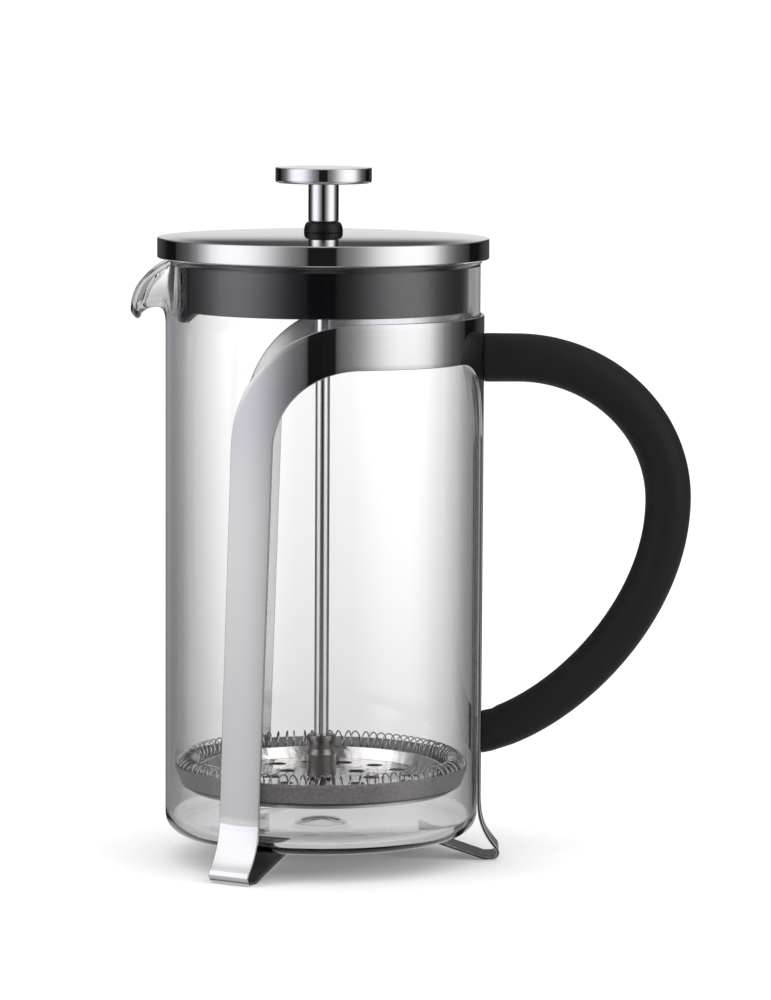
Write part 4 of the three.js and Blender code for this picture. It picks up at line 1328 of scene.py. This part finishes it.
def studio():
    """A white tent with two long softboxes, a bright panel behind and dark gaps between them.

    Its brightness follows a ray's direction: side is 0 in front and 180 degrees behind, lift
    is 0 straight down, 90 level and 180 straight up.
    """
    world = bpy.data.worlds.new("studio")
    bpy.context.scene.world = world
    world.use_nodes = True
    maker = Maker(world.node_tree)
    x, y, z = maker.parts(maker.coords("Generated"))
    side = abs(maker.number("ARCTAN2", x, -1 * y)) / math.pi
    lift = maker.number("ARCSINE", z) / math.pi + 0.5

    def by(angle, *stops):
        """A brightness that follows an angle; stops are (degrees, value)."""
        marks = [(place / 180, value) for place, value in stops]
        return maker.node("ShaderNodeValToRGB", {"stops": marks}, angle)

    box = by(side, (0, 0.01), (9.4, 0.01), (10.6, 0.09), (14, 0.14), (20, 0.2), (25.4, 0.29),
             (31, 0.43), (37, 0.61), (43, 0.77), (49, 0.9), (56, 0.98), (68, 1.0), (75, 0.95),
             (82, 0.82), (89, 0.5), (97.5, 0.22), (106, 0.1), (116, 0.05), (121, 0.035),
             (123, 0.006), (136, 0.006), (141, 0.02), (152, 0.045), (180, 0.06))
    box_lift = by(lift, (0, 0.3), (60, 0.42), (79, 0.5), (81, 0.57), (84, 0.72), (86, 1.0),
                  (135, 1.0), (155, 0.45), (170, 0.16), (180, 0.14))
    ceiling = by(lift, (0, 0), (145, 0), (162, 0.5), (180, 0.7))
    window = by(side, (0, 0), (158, 0), (166, 0.05), (170.5, 0.2), (173.2, 0.5), (175.8, 0.8),
                (177.5, 1.0), (180, 1.0))
    window_lift = by(lift, (0, 0.4), (76, 0.55), (80, 0.66), (84, 0.69), (90, 0.69),
                     (94.8, 0.66), (96.3, 0.5), (97.6, 0.27), (98.9, 0.11), (100.2, 0.04),
                     (102, 0.02), (180, 0.02))
    sweep = by(side, (0, 0), (108, 0), (122, 1), (180, 1))
    sweep_lift = by(lift, (0, 0.3), (40, 0.45), (66, 0.62), (73, 0.5), (78, 0.0), (104, 0),
                    (110, 0.2), (150, 0.28), (180, 0.28))
    front = by(side, (0, 0.5), (12, 0.5), (24, 0), (180, 0))
    front_lift = by(lift, (0, 0.5), (60, 1.0), (72, 0.8), (77.5, 0), (97, 0), (105, 0.3),
                    (140, 0.3), (165, 0.2), (180, 0))
    shade = by(lift, (0, 0), (83.4, 0), (84.4, 0.2), (85.1, 0.28), (85.5, 0.2), (86.2, 0),
               (180, 0))
    boxes = box * box_lift * (1 - shade * (x < 0))
    mirrored = BOXES * boxes.larger(window * window_lift * 0.8)
    for light in (ceiling, sweep * sweep_lift, front * front_lift):
        mirrored = mirrored.larger(BOXES * light)

    # Mirrored inside the glass, and the same past two more faces of it.
    far_side = ((64, 1.0), (72, 1.0), (80, 0.82), (88, 0.52), (96, 0.28), (106, 0.145),
                (116, 0.08), (127, 0.03), (145, 0.045), (180, 0.07))
    inner = by(side, (0, 0.01), (9.4, 0.01), (12, 0.02), (20, 0.05), (28, 0.09), (34, 0.17),
               (40, 0.32), (48, 0.62), (56, 0.9), *far_side)
    deep = by(side, (0, 0.01), (9.4, 0.01), (11, 0.06), (17, 0.12), (23, 0.2), (27, 0.4),
              (31, 0.6), (38, 0.85), (46, 0.98), *far_side)
    table = by(lift, (0, 0.36), (70, 0.36), (78, 0.3), (82, 0.1), (85, 0.0), (180, 0))
    roof = by(lift, (0, 0), (80, 0.3), (86, 0.4), (100, 0.44), (107, 0.36), (113, 0.1),
              (119, 0.04), (180, 0.04))
    behind = by(side, (0, 0), (120, 0), (150, 0.6), (165, 1.0), (180, 1))
    faces_passed = maker.node("ShaderNodeLightPath", out="Transmission Depth")
    inner = inner + (deep - inner) * (faces_passed > 2.5)
    within = BOXES * (inner * box_lift * 1.25).larger(table).larger(roof * behind)

    through = by(side, (0, 0.9), (118, 0.9), (127, 0.2), (150, 0.2), (164, 0.26),
                 (167.5, 0.37), (170.5, 0.49), (173.2, 0.68), (175.8, 0.88), (177.5, 1.0),
                 (180, 1.0))
    low = by(lift, (0, 1), (77.5, 1), (79.3, 0), (180, 0))
    through = through + (0.95 - through) * low
    through_lift = by(lift, (0, 0.7), (45, 0.7), (70, 0.6), (79, 0.64), (80.7, 0.72),
                      (82.5, 0.86), (85, 0.98), (87, 1.0), (107, 1.0), (114, 0.22),
                      (180, 0.22))
    seen = BEHIND_GLASS * through * through_lift

    reflected = maker.node("ShaderNodeLightPath", out="Glossy Depth") > 0.5
    passed = faces_passed > 0.5
    level = TENT * (1 - reflected) * (1 - passed) + seen * passed * (1 - reflected)
    level = level + reflected * (mirrored * (1 - passed) + within * passed)

    least = LEAST_TINT
    open_tint = by(lift, (0, least), (83.4, least), (84.4, 0.55), (85.4, 0.6), (86, 0.15),
                   (87.1, 0.15), (87.5, 1), (90, 1), (91.5, least), (180, least))
    inner_tint = by(lift, (0, least), (85.2, least), (86, 1), (98, 1), (102, least),
                    (180, least))
    left = (x < 0) * reflected * (open_tint + (inner_tint - open_tint) * passed)
    tint = maker.mixed(left, (1, 1, 1), LEFT_TINT)
    maker.node("ShaderNodeOutputWorld", None,
               maker.node("ShaderNodeBackground", None, tint, level))


SOFTBOX_SIZE, SOFTBOX_POWER = (1.0, 1.6), 9
SOFTBOX_OUT, SOFTBOX_FORWARD, SOFTBOX_HEIGHT = 1.6, 0.7, 1.1


def softbox(name, side, aim):
    """A large soft light at one side that shapes the matt pieces."""
    place = (side * SOFTBOX_OUT, -SOFTBOX_FORWARD, SOFTBOX_HEIGHT)
    lamp = bpy.data.lights.new(name, "AREA")
    lamp.shape = "RECTANGLE"
    lamp.size, lamp.size_y = SOFTBOX_SIZE
    lamp.energy = SOFTBOX_POWER
    item = linked(name, lamp)
    item.location = place
    item.rotation_euler = (Vector(aim) - Vector(place)).to_track_quat("-Z", "Y").to_euler()
    item.visible_camera = False
    item.visible_glossy = False
    item.visible_transmission = False


studio()
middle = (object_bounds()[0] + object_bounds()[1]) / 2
softbox("softbox_left", -1, middle)
softbox("softbox_right", 1, middle)

# ---- Camera -----------------------------------------------------------------

CAMERA_X, CAMERA_Y, CAMERA_Z = (AXIS + 19.55) * MM, -1.392, 0.2696
LOOKING_DOWN, ROLL = 6.47, 0.33

lens = bpy.data.cameras.new("camera")
lens.lens = 163.0
lens.sensor_width = 36.0
lens.clip_start = 0.01
lens.clip_end = 100.0
lens.dof.use_dof = False
camera = linked("camera", lens)
camera.matrix_world = (Matrix.Translation((CAMERA_X, CAMERA_Y, CAMERA_Z))
                       @ Matrix.Rotation(math.radians(90 - LOOKING_DOWN), 4, "X")
                       @ Matrix.Rotation(math.radians(ROLL), 4, "Z"))
bpy.context.scene.camera = camera
bpy.context.scene.view_settings.view_transform = "Standard"
